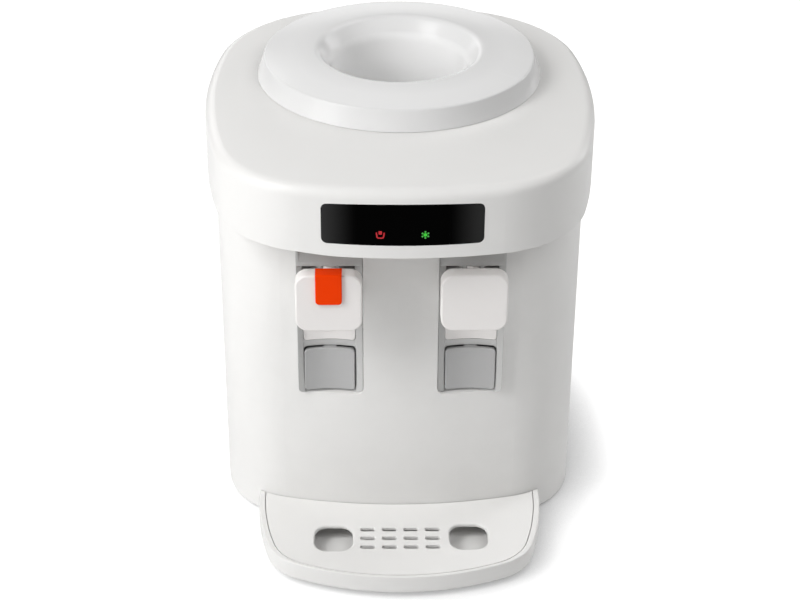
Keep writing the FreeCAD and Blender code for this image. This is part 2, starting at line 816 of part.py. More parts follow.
# Indicator panel
def makeIndicatorLens():
    lens = panelShape(0, -bonnetFront - 5, -bonnetFront / 2)
    lens = lens.common(planBlock(bonnetPlan, 0, 0, 2 * bodyTop))
    return lens.cut(planBlock(bonnetPlan, panelThickness, 0, 2 * bodyTop))


def makeIndicatorBoard():
    half = boardPostX() + 4
    board = slabXZ(-half, half, panelBottom + 3, panelSide - 3, boardY, boardY + boardThickness, 1.5)
    for side in (-1, 1):
        board = board.cut(rodY(side * boardPostX(), boardY - 1, boardY + 3, boardMiddle(), screwShank))
    behind = boardY + boardThickness
    connector = box(-plugHalf, plugHalf, behind, behind + plugHeight, boardMiddle(), boardMiddle() + plugHeight)
    chip = box(chipX, chipX + chipWidth, behind, behind + chipThickness, boardMiddle() - chipHeight / 2,
               boardMiddle() + chipHeight / 2)
    return fused(board, connector, chip)


def makeLamps():
    lamps = []
    for side in (-1, 1):
        tip = frontY(bonnetPlan, panelThickness, lampX) + 0.5
        lens = rodY(side * lampX, tip, boardY, lampZ, lampRadius)
        base = rodY(side * lampX, boardY - 1.2, boardY, lampZ, lampRadius + 0.5)
        lamps.append(fused(lens, base))
    return Part.makeCompound(lamps)


# Bottle collar
def makeBottleCollar():
    foot = crownAt(collarFoot - collarWall) + gap
    skirtFoot = crownAt(collarSkirt, wall) - 3
    thin = collarWall
    slope = (lipTop - collarTop) / (collarRim - lipRadius)
    skirtTop = collarTop + slope * (collarRim - collarSkirt) - thin
    outline = [
        (collarFoot, foot, 0),
        (collarRim, collarTop, 4),
        (lipRadius, lipTop, 3.2),
        (throatRadius, throatTop, 3),
        (throatRadius, neckBottom, 0),
        (throatRadius + thin, neckBottom, 0),
        (throatRadius + thin, throatTop - 1, 1.5),
        (lipRadius + 0.8, lipTop - thin - 0.9, 1.5),
        (collarSkirt - thin, skirtTop, 0),
        (collarSkirt - thin, skirtFoot, 0),
        (collarSkirt, skirtFoot, 0),
        (collarSkirt, skirtTop - 0.2, 0),
        (collarRim - thin + 0.2, collarTop - thin, 2),
        (collarFoot - thin, foot, 0),
    ]
    return turned(outline, 0, collarY)


# Taps: made at the middle of the body, then moved to their places
def trough(radius, low, high):
    return rodZ(0, troughCentre, low, high, radius)


def roundedOnTrough(shape, radius):
    """The shape with the edges rounded where its outline meets the hollow front."""
    edges = []
    for edge in shape.Edges:
        points = edge.discretize(5)
        if all(abs(math.hypot(p.x, p.y - troughCentre) - troughRadius) < 0.01 for p in points):
            edges.append(edge)
    return shape.makeFillet(radius, edges)


def makeTapFrame():
    half = frameWidth / 2
    inner = windowWidth / 2
    frame = roundedAt(frameWindow(0, frameFace, frameBack), frameEdge, y=frameFace)
    frame = frame.cut(trough(troughRadius, frameBottom - 1, ledgeBottom))
    channel = half - channelRail
    frame = frame.cut(box(-channel, channel, frameFace - 1, frameFace + channelDepth, ledgeTop, frameTop + 1))
    frame = frame.cut(slabXZ(-inner, inner, frameBottom + sillHeight, crossbarBottom, frameFace - 1,
                             frameBack + 1, 3))
    frame = frame.cut(slabXZ(-inner, inner, crossbarTop, ledgeBottom, frameFace - 1, frameBack + 1, 0.8, 3))
    for side in (-1, 1):
        near = side * (tabWidth / 2 + gap)
        post = box(near, near + side * postWidth, frameFace + 1.5, frameBack, slotBottom, ledgeBottom + 1)
        frame = fused(frame, post)
    pocketHalf = inner + gap
    floor = frameBottom + pocketWall
    pocket = box(-pocketHalf - pocketWall, pocketHalf + pocketWall, frameBack - 0.5, pocketBack, frameBottom,
                 crossbarBottom)
    pocket = pocket.cut(box(-pocketHalf, pocketHalf, frameBack - 1, pocketBack - pocketWall, floor,
                            crossbarBottom + 1))
    frame = fused(frame, pocket.cut(box(-inner, inner, frameFace, frameBack, floor, crossbarBottom + 1)))
    for side in (-1, 1):
        ear = box(side * earGap, side * (earGap + earThickness), frameBack - 0.5, pivotY + hubRadius + 1,
                  crossbarBottom, crossbarTop)
        frame = fused(frame, ear)
    for height in frameLugs():
        towards = frameBottom if height < frameBottom else frameTop
        lug = fused(rodY(0, frameBack, frameBack + 2, height, screwHead + 2),
                    box(-screwHead - 2, screwHead + 2, frameBack, frameBack + 2, height, towards),
                    box(-screwHead - 2, screwHead + 2, frameBack - 1, frameBack + 2,
                        towards, towards + (2 if height < frameBottom else -2)))
        frame = fused(frame, lug)
        frame = frame.cut(rodY(0, frameBack - 3, frameBack + 3, height, screwShank + 0.1))
    return frame.cut(rodX(-half, half, pivotY, pivotZ, pinRadius))


def makeTapScrews():
    screws = []
    for side in (-1, 1):
        for height in frameLugs():
            seat = frameBack + 2
            head = rodY(side * tapX, seat, seat + screwHeadHeight, height, screwHead)
            shank = rodY(side * tapX, frameBack - 2.5, seat, height, screwShank - gap - 0.05)
            screws.append(fused(head, shank))
    return Part.makeCompound(screws)


def makeTapBody():
    half = windowWidth / 2 - gap
    plate = slabXZ(-half, half, crossbarTop + gap, slotBottom - gap, frameFace, frameBack + 1, 0.8, 2.7)
    tab = box(-tabWidth / 2, tabWidth / 2, frameFace, frameBack + 1, slotBottom - 5, ledgeBottom - gap)
    plate = roundedOnTrough(fused(plate, tab).cut(trough(troughRadius, 0, 2 * bodyTop)), plateEdge)
    flange = box(-half - 3, half + 3, frameBack + gap, frameBack + gap + 2, crossbarTop + gap, slotBottom - gap)
    flange = flange.cut(box(-earGap - 4, earGap + 4, frameBack, pivotY, 0, crossbarTop + 3))
    valve = slabXY(-valveHalf, valveHalf, frameBack, valveBack, valveBottom, valveTop, 3)
    neck = slabXZ(-neckHalf, neckHalf, capBottom + capWall + gap, neckTop, neckFront, frameBack, 5)
    spout = box(-nozzleRadius, nozzleRadius, nozzleY, frameBack, capBottom + capWall + gap, outletZ + 6)
    nozzle = rodZ(0, nozzleY, nozzleBottom, outletZ + 6, nozzleRadius)
    inlet = rodY(0, valveBack - 1, valveBack + spigotLength, inletZ, spigotRadius)
    tap = fused(plate, flange, valve, neck, spout, nozzle, inlet)
    tap = tap.cut(rodZ(0, stemY, seatZ, valveTop + 1, chamberRadius))
    tap = tap.cut(rodZ(0, stemY, outletZ - outletRadius - 1, seatZ + 1, seatRadius))
    tap = tap.cut(rodZ(0, stemY, valveBottom - 1, outletZ, stemRadius + runFit))
    tap = tap.cut(rodY(0, nozzleY, stemY, outletZ, outletRadius))
    tap = tap.cut(rodZ(0, nozzleY, nozzleBottom - 1, outletZ, outletRadius + 0.3))
    return tap.cut(rodY(0, stemY, valveBack + spigotLength + 1, inletZ, spigotBore))


def makeTapCap():
    half = capWidth / 2

    def outline(y, grow, inset):
        size = half + grow - inset
        radius = capCorner + grow - inset
        low = capBottom - grow + inset
        high = capTop + grow - inset
        corners = [(-size, low, radius), (size, low, radius), (size, high, radius), (-size, high, radius)]
        return Part.Wire(roundedEdges(corners, lambda p: Vec(p.x, y, p.y)))

    cap = Part.makeLoft([outline(capFace, 0, 0), outline(capBack, capDraft, 0)], True, True)
    front = [e for e in cap.Edges if e.BoundBox.YMax < capFace + 0.01]
    cap = cap.makeFillet(1.6, front)
    hollow = Part.makeLoft([outline(capFace + capWall, 0, capWall), outline(capBack + 1, capDraft, capWall)],
                           True, True)
    cap = cap.cut(hollow)
    notch = nozzleRadius + gap
    cap = cap.cut(rodZ(0, nozzleY, capBottom - 1, capBottom + capWall + 1, notch))
    cap = cap.cut(box(-notch, notch, nozzleY, capBack + 1, capBottom - 2, capBottom + capWall + 1))
    for side in (-1, 1):
        rib = box(side * neckHalf, side * (half - capWall / 2), capFace + 5, capBack,
                  capBottom + 8, neckTop - 4)
        cap = fused(cap, rib)
    return cap


def makePaddle():
    half = windowWidth / 2 - paddleSide
    low = frameBottom + sillHeight + paddleGap
    high = crossbarBottom - 1
    plate = slabXZ(-half, half, low, high, frameFace, frameBack + 5, 3)
    plate = plate.cut(trough(troughRadius, 0, 2 * bodyTop))
    plate = plate.common(trough(troughRadius + paddleThickness, 0, 2 * bodyTop))
    plate = roundedOnTrough(plate, paddleEdge)
    neck = sideProfile([(frameBack - 0.5, high - 10, 0), (frameBack - 0.5, high - 0.3, 0),
                        (pivotY - hubRadius, pivotZ - 1, 0), (pivotY + 1, pivotZ - 2.5, 0),
                        (frameBack + 2, high - 9, 0)], -5, 5)
    hub = rodX(-earGap + gap, earGap - gap, pivotY, pivotZ, hubRadius)
    arm = sideProfile([(pivotY, pivotZ - 2.6, 0), (pivotY, pivotZ + 2, 0), (stemY, pivotZ + 2, 0),
                       (stemY, stemBottom - gap - 2 * padRadius + 0.5, 0)], -4, 4)
    pad = rodX(-4, 4, stemY, stemBottom - gap - padRadius, padRadius)
    ribs = [box(side * 12 - 0.8, side * 12 + 0.8, frameBack - 2, frameBack + 2, low + 3, high - 3)
            for side in (-1, 1)]
    ribs = [rib.cut(trough(troughRadius + paddleThickness / 2, 0, 2 * bodyTop)) for rib in ribs]
    paddle = fused(plate, neck, hub, arm, pad, *ribs)
    return paddle.cut(rodX(-half, half, pivotY, pivotZ, pinRadius + runFit))


def makePaddlePin():
    return rodX(-earGap - earThickness, earGap + earThickness, pivotY, pivotZ, pinRadius)


def makeValveStem():
    profile = [(0, stemBottom, 0), (3.2, stemBottom, 0), (3.2, stemBottom + 1.6, 0),
               (stemRadius, stemBottom + 1.6, 0), (stemRadius, seatZ + 3, 0), (0, seatZ + 3, 0)]
    return turned(profile, 0, stemY)


def makeValvePlug():
    foot = seatZ + 0.2
    profile = [(stemRadius, foot, 0), (seatRadius + 1.2, foot, 0), (chamberRadius - 1.5, foot + 2, 0),
               (chamberRadius - 1.5, plugTop(), 0), (0, plugTop(), 0), (0, seatZ + 3, 0),
               (stemRadius, seatZ + 3, 0)]
    return turned(profile, 0, stemY)


def plugTop():
    return seatZ + 6


def makeValveBellows():
    low = plugTop()
    high = valveTop - 3
    step = (high - low) / 6
    outer = [(5.6 if i % 2 else 4.2, low + i * step, 0) for i in range(7)]
    inner = [(4.4 if i % 2 else 3.0, low + i * step, 0) for i in range(6, -1, -1)]
    return turned(outer + inner, 0, stemY)


def makeValveLid():
    lid = turned([(0, valveTop - 3, 0), (chamberRadius - 0.1, valveTop - 3, 0),
                  (chamberRadius - 0.1, valveTop, 0), (valveHalf - 0.5, valveTop, 0),
                  (valveHalf - 0.5, valveTop + 2.5, 0), (0, valveTop + 2.5, 0)], 0, stemY)
    return fused(lid, box(-6, 6, stemY - 1, stemY + 1, valveTop + 2, valveTop + 5))


def lockGuide(clearance, low, high):
    """The tongue under the lock's top, or with a clearance the slot that it runs in."""
    middle = (capFace + capWall + capBack) / 2
    half = guideHalf + clearance
    depth = guideThickness / 2 + clearance
    return box(-half, half, middle - depth, middle + depth, low, high)


def makeChildLock():
    half = lockWidth / 2
    near = capFace - gap
    front = near - lockFront
    under = capTop + capDraft + gap
    top = under + lockTop
    plate = slabXZ(-half, half, lockBottom, top, front, near, 1, 3)
    lock = fused(plate, box(-half, half, near, lockBack, under, top), lockGuide(0, guideBottom, top))
    edges = [e for e in lock.Edges if abs(e.BoundBox.YMin - front) < 0.01 and e.BoundBox.YLength < 0.01
             and abs(e.BoundBox.ZMin - top) < 0.01]
    return lock.makeFillet(0.8, edges)


# Drip tray
def bodyRoom(clearance):
    return planBlock(bodyPlan, -clearance, -1, 2 * trayTop)


def makeDripTray():
    tray = trayBlock(0, 0, trayBottom, trayTop)
    low = [e for e in tray.Edges if e.BoundBox.ZMax < trayBottom + 0.01 and e.BoundBox.YMax < -bodyFront / 2]
    tray = tray.makeFillet(trayEdge, low)
    high = [e for e in tray.Edges if e.BoundBox.ZMin > trayTop - 0.01 and e.BoundBox.YMax < -bodyFront / 2]
    tray = tray.makeFillet(trayTopEdge, high)
    tray = tray.cut(bodyRoom(trayGap))
    shelfZ = trayTop - grilleThickness - gap
    tray = tray.cut(trayBlock(trayRimSide, trayRimFront, shelfZ, trayTop + 1).cut(bodyRoom(trayGap)))
    basin = trayBlock(trayRimSide + ledgeDrop, trayRimFront + ledgeDrop, trayBottom + trayWall, trayTop)
    tray = tray.cut(basin.cut(bodyRoom(trayGap + trayWall)))
    for side in (-1, 1):
        x = side * tongueX
        mouth = frontY(bodyPlan, 0, tongueX) - trayGap
        tongue = slabXY(x - tongueHalf, x + tongueHalf, mouth - trayWall - 3, -bodyFront + 3 + tongueReach + 6,
                        tongueBottom, tongueTop, 2)
        room = trayBlock(trayRimSide + ledgeDrop, trayRimFront + ledgeDrop, 0, 2 * trayTop)
        inside = room.cut(bodyRoom(trayGap + trayWall))
        tray = fused(tray, tongue.cut(inside))
    return tray


def grilleHoles():
    """Place, size, corner and edge rounding of the two finger holes and the slots between them."""
    holes = []
    for side in (-1, 1):
        holes.append((side * holeX, holeY, holeLength, holeWidth, holeCorner, holeEdge))
    for column in range(slotColumns):
        for row in range(slotRows):
            x = (column - (slotColumns - 1) / 2) * slotPitchX
            y = holeY + (row - (slotRows - 1) / 2) * slotPitchY
            holes.append((x, y, slotLength, slotWidth, slotWidth / 2 - 0.2, slotEdge))
    return holes


def makeDripGrille():
    low = trayTop - grilleThickness
    plate = trayBlock(trayRimSide + gap, trayRimFront + gap, low, trayTop).cut(bodyRoom(trayGap + gap))
    for x, y, length, width, corner, edge in grilleHoles():
        hole = slabXY(x - length / 2, x + length / 2, y - width / 2, y + width / 2, low - 1, trayTop + 1, corner)
        plate = plate.cut(hole)
        rim = [e for e in plate.Edges if e.BoundBox.ZMin > trayTop - 0.01
               and abs(e.BoundBox.Center.x - x) <= length / 2 + 0.01
               and abs(e.BoundBox.Center.y - y) <= width / 2 + 0.01]
        plate = plate.makeFillet(edge, rim)
    return plate


# Cold side
def makeColdTank():
    inner = tankRadius - tankWall
    tank = turned([(0, tankBottom, 0), (tankRadius, tankBottom, 4), (tankRadius, tankTop - 2, 0),
                   (tankFlange, tankTop - 2, 0), (tankFlange, tankTop, 0), (inner, tankTop, 0),
                   (inner, tankBottom + tankWall, 3), (0, tankBottom + tankWall, 0)], 0, collarY)
    feed = rodZ(feedX, feedY, shelfTop - shelfThickness - 2, tankBottom + 1, spigotRadius)
    tank = fused(tank, feed).cut(rodZ(feedX, feedY, 0, tankBottom + tankWall + 1, spigotBore))
    port = portRod(spigotRadius, inner + 0.5, portReach())
    return fused(tank, port).cut(portRod(spigotBore, inner - 5, portReach() + 1))


def portDirection():
    """From the tank's axis towards the back of the cold tap's inlet."""
    return Vec(tapX, coldTurnY() - collarY, 0).normalize()


def coldTurnY():
    return valveBack + spigotLength + 4


def portReach():
    return tankRadius + foam + 8


def portRod(radius, start, end):
    direction = portDirection()
    return Part.makeCylinder(radius, end - start, Vec(0, collarY, inletZ) + direction * start, direction)


def makeTankFoam():
    outer = foamRadius
    foamTop = tankTop - 2
    jacket = rodZ(0, collarY, shelfTop, foamTop, outer)
    jacket = jacket.cut(turned([(0, tankBottom, 0), (tankRadius + gap, tankBottom, 4), (tankRadius + gap, foamTop + 1, 0),
                                (0, foamTop + 1, 0)], 0, collarY))
    jacket = jacket.cut(box(-halfWidth, halfWidth, moduleY - gap, 2 * halfWidth, 0, 2 * bodyTop))
    window = blockHalf + gap
    jacket = jacket.cut(box(-window, window, collarY, 2 * halfWidth, coolZ - window, coolZ + window))
    jacket = jacket.cut(portRod(spigotRadius + gap, tankRadius - 5, outer + 10))
    return jacket.cut(rodZ(feedX, feedY, shelfTop - 1, tankBottom + 5, spigotRadius + gap))


def makeTankLid():
    hole = throatRadius + collarWall + sealWidth + gap
    top = tankTop + lidThickness
    return turned([(hole, tankTop - 3, 0), (tankRadius - tankWall - gap, tankTop - 3, 0),
                   (tankRadius - tankWall - gap, tankTop, 0), (tankFlange, tankTop, 0), (tankFlange, top, 0),
                   (hole - sealWidth, top, 0), (hole - sealWidth, top - 1, 0), (hole, top - 1, 0)], 0, collarY)


def makeTankSeal():
    neck = throatRadius + collarWall + gap
    top = tankTop + lidThickness - 1
    return turned([(neck + 0.1, top - 4, 0), (neck + sealWidth, top - 4, 0), (neck + sealWidth, top, 0),
                   (neck, top, 0)], 0, collarY)


def makeTankBaffle():
    radius = tankRadius - tankWall - gap
    disc = ringZ(0, collarY, baffleZ, baffleZ + baffleThickness, baffleHole, radius)
    for i in range(6):
        angle = math.radians(60 * i + 30)
        disc = disc.cut(rodZ(baffleCircle * math.cos(angle), collarY + baffleCircle * math.sin(angle), baffleZ - 1,
                             baffleZ + baffleThickness + 1, baffleHole))
    disc = disc.cut(rodZ(feedX, feedY, baffleZ - 1, baffleZ + 3, spigotBore))
    foot = tankBottom + tankWall
    return fused(disc, ringZ(feedX, feedY, foot, baffleZ, spigotBore, spigotBore + 1.2))


def makeColdBlock():
    block = box(-blockHalf, blockHalf, collarY, moduleY, coolZ - blockHalf, coolZ + blockHalf)
    return block.cut(rodZ(0, collarY, 0, 2 * bodyTop, tankRadius))


def makeCoolingModule():
    plate = 0.8
    hot = box(-moduleHalf, moduleHalf, sinkY - plate, sinkY, coolZ - moduleHalf, coolZ + moduleHalf)
    cold = box(-moduleHalf, moduleHalf, moduleY, moduleY + plate, coolZ - moduleHalf, coolZ + moduleHalf)
    core = box(1 - moduleHalf, moduleHalf - 1, moduleY, sinkY, coolZ - moduleHalf + 1, coolZ + moduleHalf - 1)
    return fused(hot, cold, core)


def makeHeatSink():
    sink = box(-sinkHalf, sinkHalf, sinkY, sinkY + sinkBase, coolZ - sinkHalf, coolZ + sinkHalf)
    pitch = (2 * sinkHalf - finThickness) / (finCount - 1)
    fins = [box(-sinkHalf + i * pitch, -sinkHalf + i * pitch + finThickness, sinkY + sinkBase - 0.5,
                sinkY + sinkBase + finHeight, coolZ - sinkHalf, coolZ + sinkHalf) for i in range(finCount)]
    return fused(sink, *fins)


def makeFanFrame():
    frame = slabXZ(-fanHalf, fanHalf, coolZ - fanHalf, coolZ + fanHalf, fanY, rearInner, 4)
    frame = frame.cut(rodY(0, fanY - 1, rearInner + 1, coolZ, fanBore))
    middle = rodY(0, rearInner - 2.5, rearInner, coolZ, hubFan)
    struts = []
    for i in range(4):
        strut = box(-strutWidth / 2, strutWidth / 2, rearInner - 2, rearInner, coolZ, coolZ + fanBore + 1)
        struts.append(strut.rotate(Vec(0, 0, coolZ), Vec(0, 1, 0), 45 + 90 * i))
    tube = rodY(0, rearInner - 10, rearInner, coolZ, 4)
    frame = fused(frame, middle, tube, *struts)
    frame = frame.cut(rodY(0, rearInner - 11, rearInner - 1.5, coolZ, fanShaft + runFit))
    for sx in (-1, 1):
        for sz in (-1, 1):
            frame = frame.cut(rodY(sx * (fanHalf - 4.2), fanY - 1, rearInner + 1, coolZ + sz * (fanHalf - 4.2), 1.8))
    return frame


def makeFanRotor():
    front = fanY + 1
    cup = rodY(0, front, rearInner - 3.5, coolZ, hubFan)
    cup = cup.cut(rodY(0, front + 1.5, rearInner, coolZ, hubFan - 1.5))
    shaft = rodY(0, front + 0.5, rearInner - 2, coolZ, fanShaft)
    blades = []
    pitch = math.radians(38)
    for i in range(bladeCount):
        blade = box(-0.6, 0.6, -5.2, 5.2, 0, bladeReach - hubFan + 1)
        blade.rotate(Vec(0, 0, 0), Vec(0, 0, 1), math.degrees(pitch))
        blade.translate(Vec(0, (front + rearInner - 3.5) / 2, coolZ + hubFan - 1))
        blade.rotate(Vec(0, 0, coolZ), Vec(0, 1, 0), 360 / bladeCount * i)
        blades.append(blade)
    rotor = fused(cup, shaft, *blades)
    return rotor.common(rodY(0, front, rearInner - 2, coolZ, bladeReach))


# Hot side
def hotPorts(radius, start):
    """The hot tank's three ports: to the tap, from the cold tank and to the drain."""
    up = rodZ(-tapX, hotPortY, hotTop - start, hotTop + spigotLength, radius)
    feed = rodX(hotX + hotRadius - start, hotX + hotRadius + spigotLength, hotY, hotFeedZ, radius)
    drain = rodY(hotX, hotY + hotRadius - start, hotY + hotRadius + spigotLength, drainZ, radius)
    return up, feed, drain


def makeHotTank():
    solid = turned([(0, hotBottom, 0), (hotRadius, hotBottom, hotEdge), (hotRadius, hotTop, hotEdge),
                    (0, hotTop, 0)], hotX, hotY)
    hollow = rodZ(hotX, hotY, hotBottom + hotWall, hotTop - hotWall, hotRadius - hotWall)
    tank = fused(solid, *hotPorts(spigotRadius, 1)).cut(hollow)
    for bore in hotPorts(spigotBore, 3):
        tank = tank.cut(bore)
    return tank


def makeHeaterBand():
    inner = hotRadius
    band = ringZ(hotX, hotY, bandBottom, bandTop, inner, inner + bandThickness)
    ears = box(hotX - 6, hotX + 6, hotY - inner - 12, hotY - inner, bandBottom + 4, bandTop - 4)
    ears = ears.cut(rodZ(hotX, hotY, 0, bodyTop, inner))
    band = fused(band, ears)
    return band.cut(box(hotX - 2, hotX + 2, hotY - 2 * inner, hotY, bandBottom - 1, bandTop + 1))


def makeThermostats():
    discs = []
    for height in ((bandTop + hotTop) / 2 - 3, (hotBottom + bandBottom) / 2 + 4):
        disc = rodY(hotX, hotY - hotRadius - thermostatDepth, hotY - hotRadius + 2, height, thermostatRadius)
        body = rodY(hotX, hotY - hotRadius - thermostatDepth - 5, hotY - hotRadius - 1, height,
                    thermostatRadius * 0.75)
        discs.append(fused(disc, body).cut(rodZ(hotX, hotY, 0, bodyTop, hotRadius)))
    return Part.makeCompound(discs)


def makeHotStand():
    outer = hotRadius + standRing + gap
    ring = ringZ(hotX, hotY, hotBottom - standRing, hotBottom + standHeight - standRing, hotRadius + gap, outer)
    seat = ringZ(hotX, hotY, hotBottom - standRing, hotBottom, hotRadius * 0.7, outer)
    stand = fused(ring, seat)
    for i in range(3):
        angle = math.radians(120 * i + 90)
        reach = hotRadius - legRadius
        stand = fused(stand, rodZ(hotX + reach * math.cos(angle), hotY + reach * math.sin(angle), baseTop,
                                  hotBottom - standRing / 2, legRadius))
    return stand


# Hoses: straight runs joined by tangent arcs
def hose(points):
    edges = []
    start = points[0]
    for i in range(1, len(points) - 1):
        before = points[i - 1] - points[i]
        after = points[i + 1] - points[i]
        half = before.getAngle(after) / 2
        reach = 0.45 * min(before.Length, after.Length)
        radius = reach * math.tan(half)
        before.normalize()
        after.normalize()
        first = points[i] + before * reach
        last = points[i] + after * reach
        middle = points[i] + (before + after).normalize() * (radius / math.sin(half) - radius)
        edges.append(Part.makeLine(start, first))
        edges.append(Part.Arc(first, middle, last).toShape())
        start = last
    edges.append(Part.makeLine(start, points[-1]))
    path = Part.Wire(edges)
    direction = points[1] - points[0]
    tube = None
    for radius in (hoseOuter, spigotRadius):
        ring = Part.Wire(Part.makeCircle(radius, points[0], direction))
        swept = path.makePipeShell([ring], True, False)
        tube = swept if tube is None else tube.cut(swept)
    return tube


def makeColdHose():
    direction = portDirection()
    start = Vec(0, collarY, inletZ) + direction * (tankRadius + foam + gap + 1)
    return hose([start, Vec(tapX, coldTurnY(), inletZ), Vec(tapX, valveBack + 0.5, inletZ)])


def makeHotHose():
    return hose([Vec(-tapX, hotPortY, hotTop + 0.5), Vec(-tapX, hotPortY, inletZ),
                 Vec(-tapX, valveBack + 0.5, inletZ)])


def makeFeedHose():
    return hose([Vec(feedX, feedY, shelfTop - shelfThickness + 1), Vec(feedX, feedY, hotFeedZ),
                 Vec(hotX + hotRadius + 0.5, feedY, hotFeedZ)])


def makeDrainHose():
    return hose([Vec(hotX, hotY + hotRadius + 0.5, drainZ), Vec(hotX, rearInner - 3, drainZ)])


# Rear fittings
def makeDrainOutlet():
    tube = rodY(hotX, rearInner - 12, rearPanelY + drainReach, drainZ, spigotRadius)
    flange = rodY(hotX, rearInner - 2.5, rearInner, drainZ, drainRadius + 4)
    neck = rodY(hotX, rearInner, rearPanelY + drainReach, drainZ, drainRadius)
    return fused(tube, flange, neck).cut(rodY(hotX, rearInner - 13, 2 * halfWidth, drainZ, spigotBore))


def makeDrainCap():
    near = rearPanelY + gap
    end = rearPanelY + drainReach + gap + 1.8
    cap = roundedAt(rodY(hotX, near, end, drainZ, drainCapRadius), drainCapEdge, y=end)
    for i in range(12):
        angle = math.radians(30 * i)
        cap = cap.cut(rodY(hotX + (drainCapRadius + 0.6) * math.cos(angle), near - 1, end + 1,
                           drainZ + (drainCapRadius + 0.6) * math.sin(angle), 1.4))
    return cap.cut(rodY(hotX, near - 1, rearPanelY + drainReach + gap, drainZ, drainRadius + gap))


def makeSwitchHousings():
    housings = []
    for row in range(2):
        z = switchLowZ + row * switchPitch
        wide = rockerHalf + bezelMargin
        tall = rockerHeight + bezelMargin
        bezel = slabXZ(switchX - wide, switchX + wide, z - tall, z + tall, rearPanelY, rearPanelY + bezelDepth, 1.5)
        bezel = roundedAt(bezel, bezelEdge, y=rearPanelY + bezelDepth)
        case = box(switchX - rockerHalf - 1.2, switchX + rockerHalf + 1.2, rearPanelY - switchDepth,
                   rearPanelY + 0.5, z - rockerHeight - 1.2, z + rockerHeight + 1.2)
        housing = fused(bezel, case)
        room = box(switchX - rockerHalf - gap, switchX + rockerHalf + gap, rearPanelY - switchDepth + 6,
                   rearPanelY + bezelDepth + 1, z - rockerHeight - gap - 0.3, z + rockerHeight + gap + 0.3)
        housing = housing.cut(room)
        tabs = [box(switchX + x - 0.4, switchX + x + 0.4, rearPanelY - switchDepth - 7,
                    rearPanelY - switchDepth + 0.5, z + y - 3, z + y + 3) for x, y in ((0, -6), (0, 6))]
        housing = fused(housing, *tabs)
        pin = rodX(switchX - rockerHalf - 1, switchX + rockerHalf + 1, rockerAxisY(), z, 1)
        housings.append(fused(housing, pin))
    return Part.makeCompound(housings)


def rockerAxisY():
    return rearPanelY - 3


def makeRocker(row):
    z = switchLowZ + row * switchPitch
    face = rearPanelY + bezelDepth + 0.5
    half = rockerHeight - 1.2
    rocker = sideProfile([(rockerAxisY() - 2.5, z - 3, 0), (rearPanelY - 1, z - half, 0.8), (face + 1, z - half, 0.8),
                          (face - 0.8, z, 0), (face + 1, z + half, 0.8), (rearPanelY - 1, z + half, 0.8),
                          (rockerAxisY() - 2.5, z + 3, 0)], switchX - rockerHalf, switchX + rockerHalf)
    rocker = rocker.cut(rodX(switchX - 2 * rockerHalf, switchX + 2 * rockerHalf, rockerAxisY(), z, 1 + runFit))
    return rocker.rotate(Vec(0, rockerAxisY(), z), Vec(1, 0, 0), -rockerTilt)


def makePowerInlet():
    z = inletPlateZ
    plate = slabXZ(inletX - inletHalf, inletX + inletHalf, z - inletHeight, z + inletHeight, rearPanelY,
                   rearPanelY + inletDepth, 3)
    plate = roundedAt(plate, bezelEdge, y=rearPanelY + inletDepth)
    case = box(inletX - socketHalf - 1.5, inletX + socketHalf + 1.5, rearPanelY - socketDepth - 1.5,
               rearPanelY + 0.5, z - socketHeight - 1.5, z + socketHeight + 1.5)
    socket = slabXZ(inletX - socketHalf, inletX + socketHalf, z - socketHeight, z + socketHeight,
                    rearPanelY - socketDepth, rearPanelY + 4, 2, 5)
    inlet = fused(plate, case).cut(socket)
    for x, height in ((-7, -2), (0, 2), (7, -2)):
        inlet = fused(inlet, box(inletX + x - pinHalf, inletX + x + pinHalf, rearPanelY - socketDepth - 6,
                                 rearPanelY - 3, z + height - 2, z + height + 2))
    return inlet


def makePowerBoard():
    board = slabXY(boardX, boardEndX, boardFrontY, boardBackY, boardZ, boardZ + boardThickness, 2)
    top = boardZ + boardThickness
    near = boardX + partInset
    coil = slabXY(near, near + coilWidth, coilFront, coilFront + coilWidth, top, top + coilHeight, 2)
    core = box(near + coreMargin, near + coilWidth - coreMargin, coilFront - coreReach,
               coilFront + coilWidth + coreReach, top, top + coreHeight)
    relay = box(boardX + relayX, boardX + relayX + relayWidth, relayFront, relayFront + relayLength,
                top, top + relayHeight)
    socket = box(near, near + socketWidth, socketFront, socketFront + socketLength, top, top + socketRise)
    cans = [rodZ(boardX + canX + canPitch * i, canY, top, top + canHeight, canRadius) for i in range(2)]
    middle = coilFront + coilWidth + coreReach + coolerLength / 2 + 4
    plate = box(near, near + (coolerFins - 1) * coolerPitch + coolerFin, middle - coolerPlate / 2,
                middle + coolerPlate / 2, top, top + coolerHeight)
    fins = [box(near + coolerPitch * i, near + coolerPitch * i + coolerFin, middle - coolerLength / 2,
                middle + coolerLength / 2, top, top + coolerHeight) for i in range(coolerFins)]
    return fused(board, coil, core, relay, socket, plate, *cans, *fins)


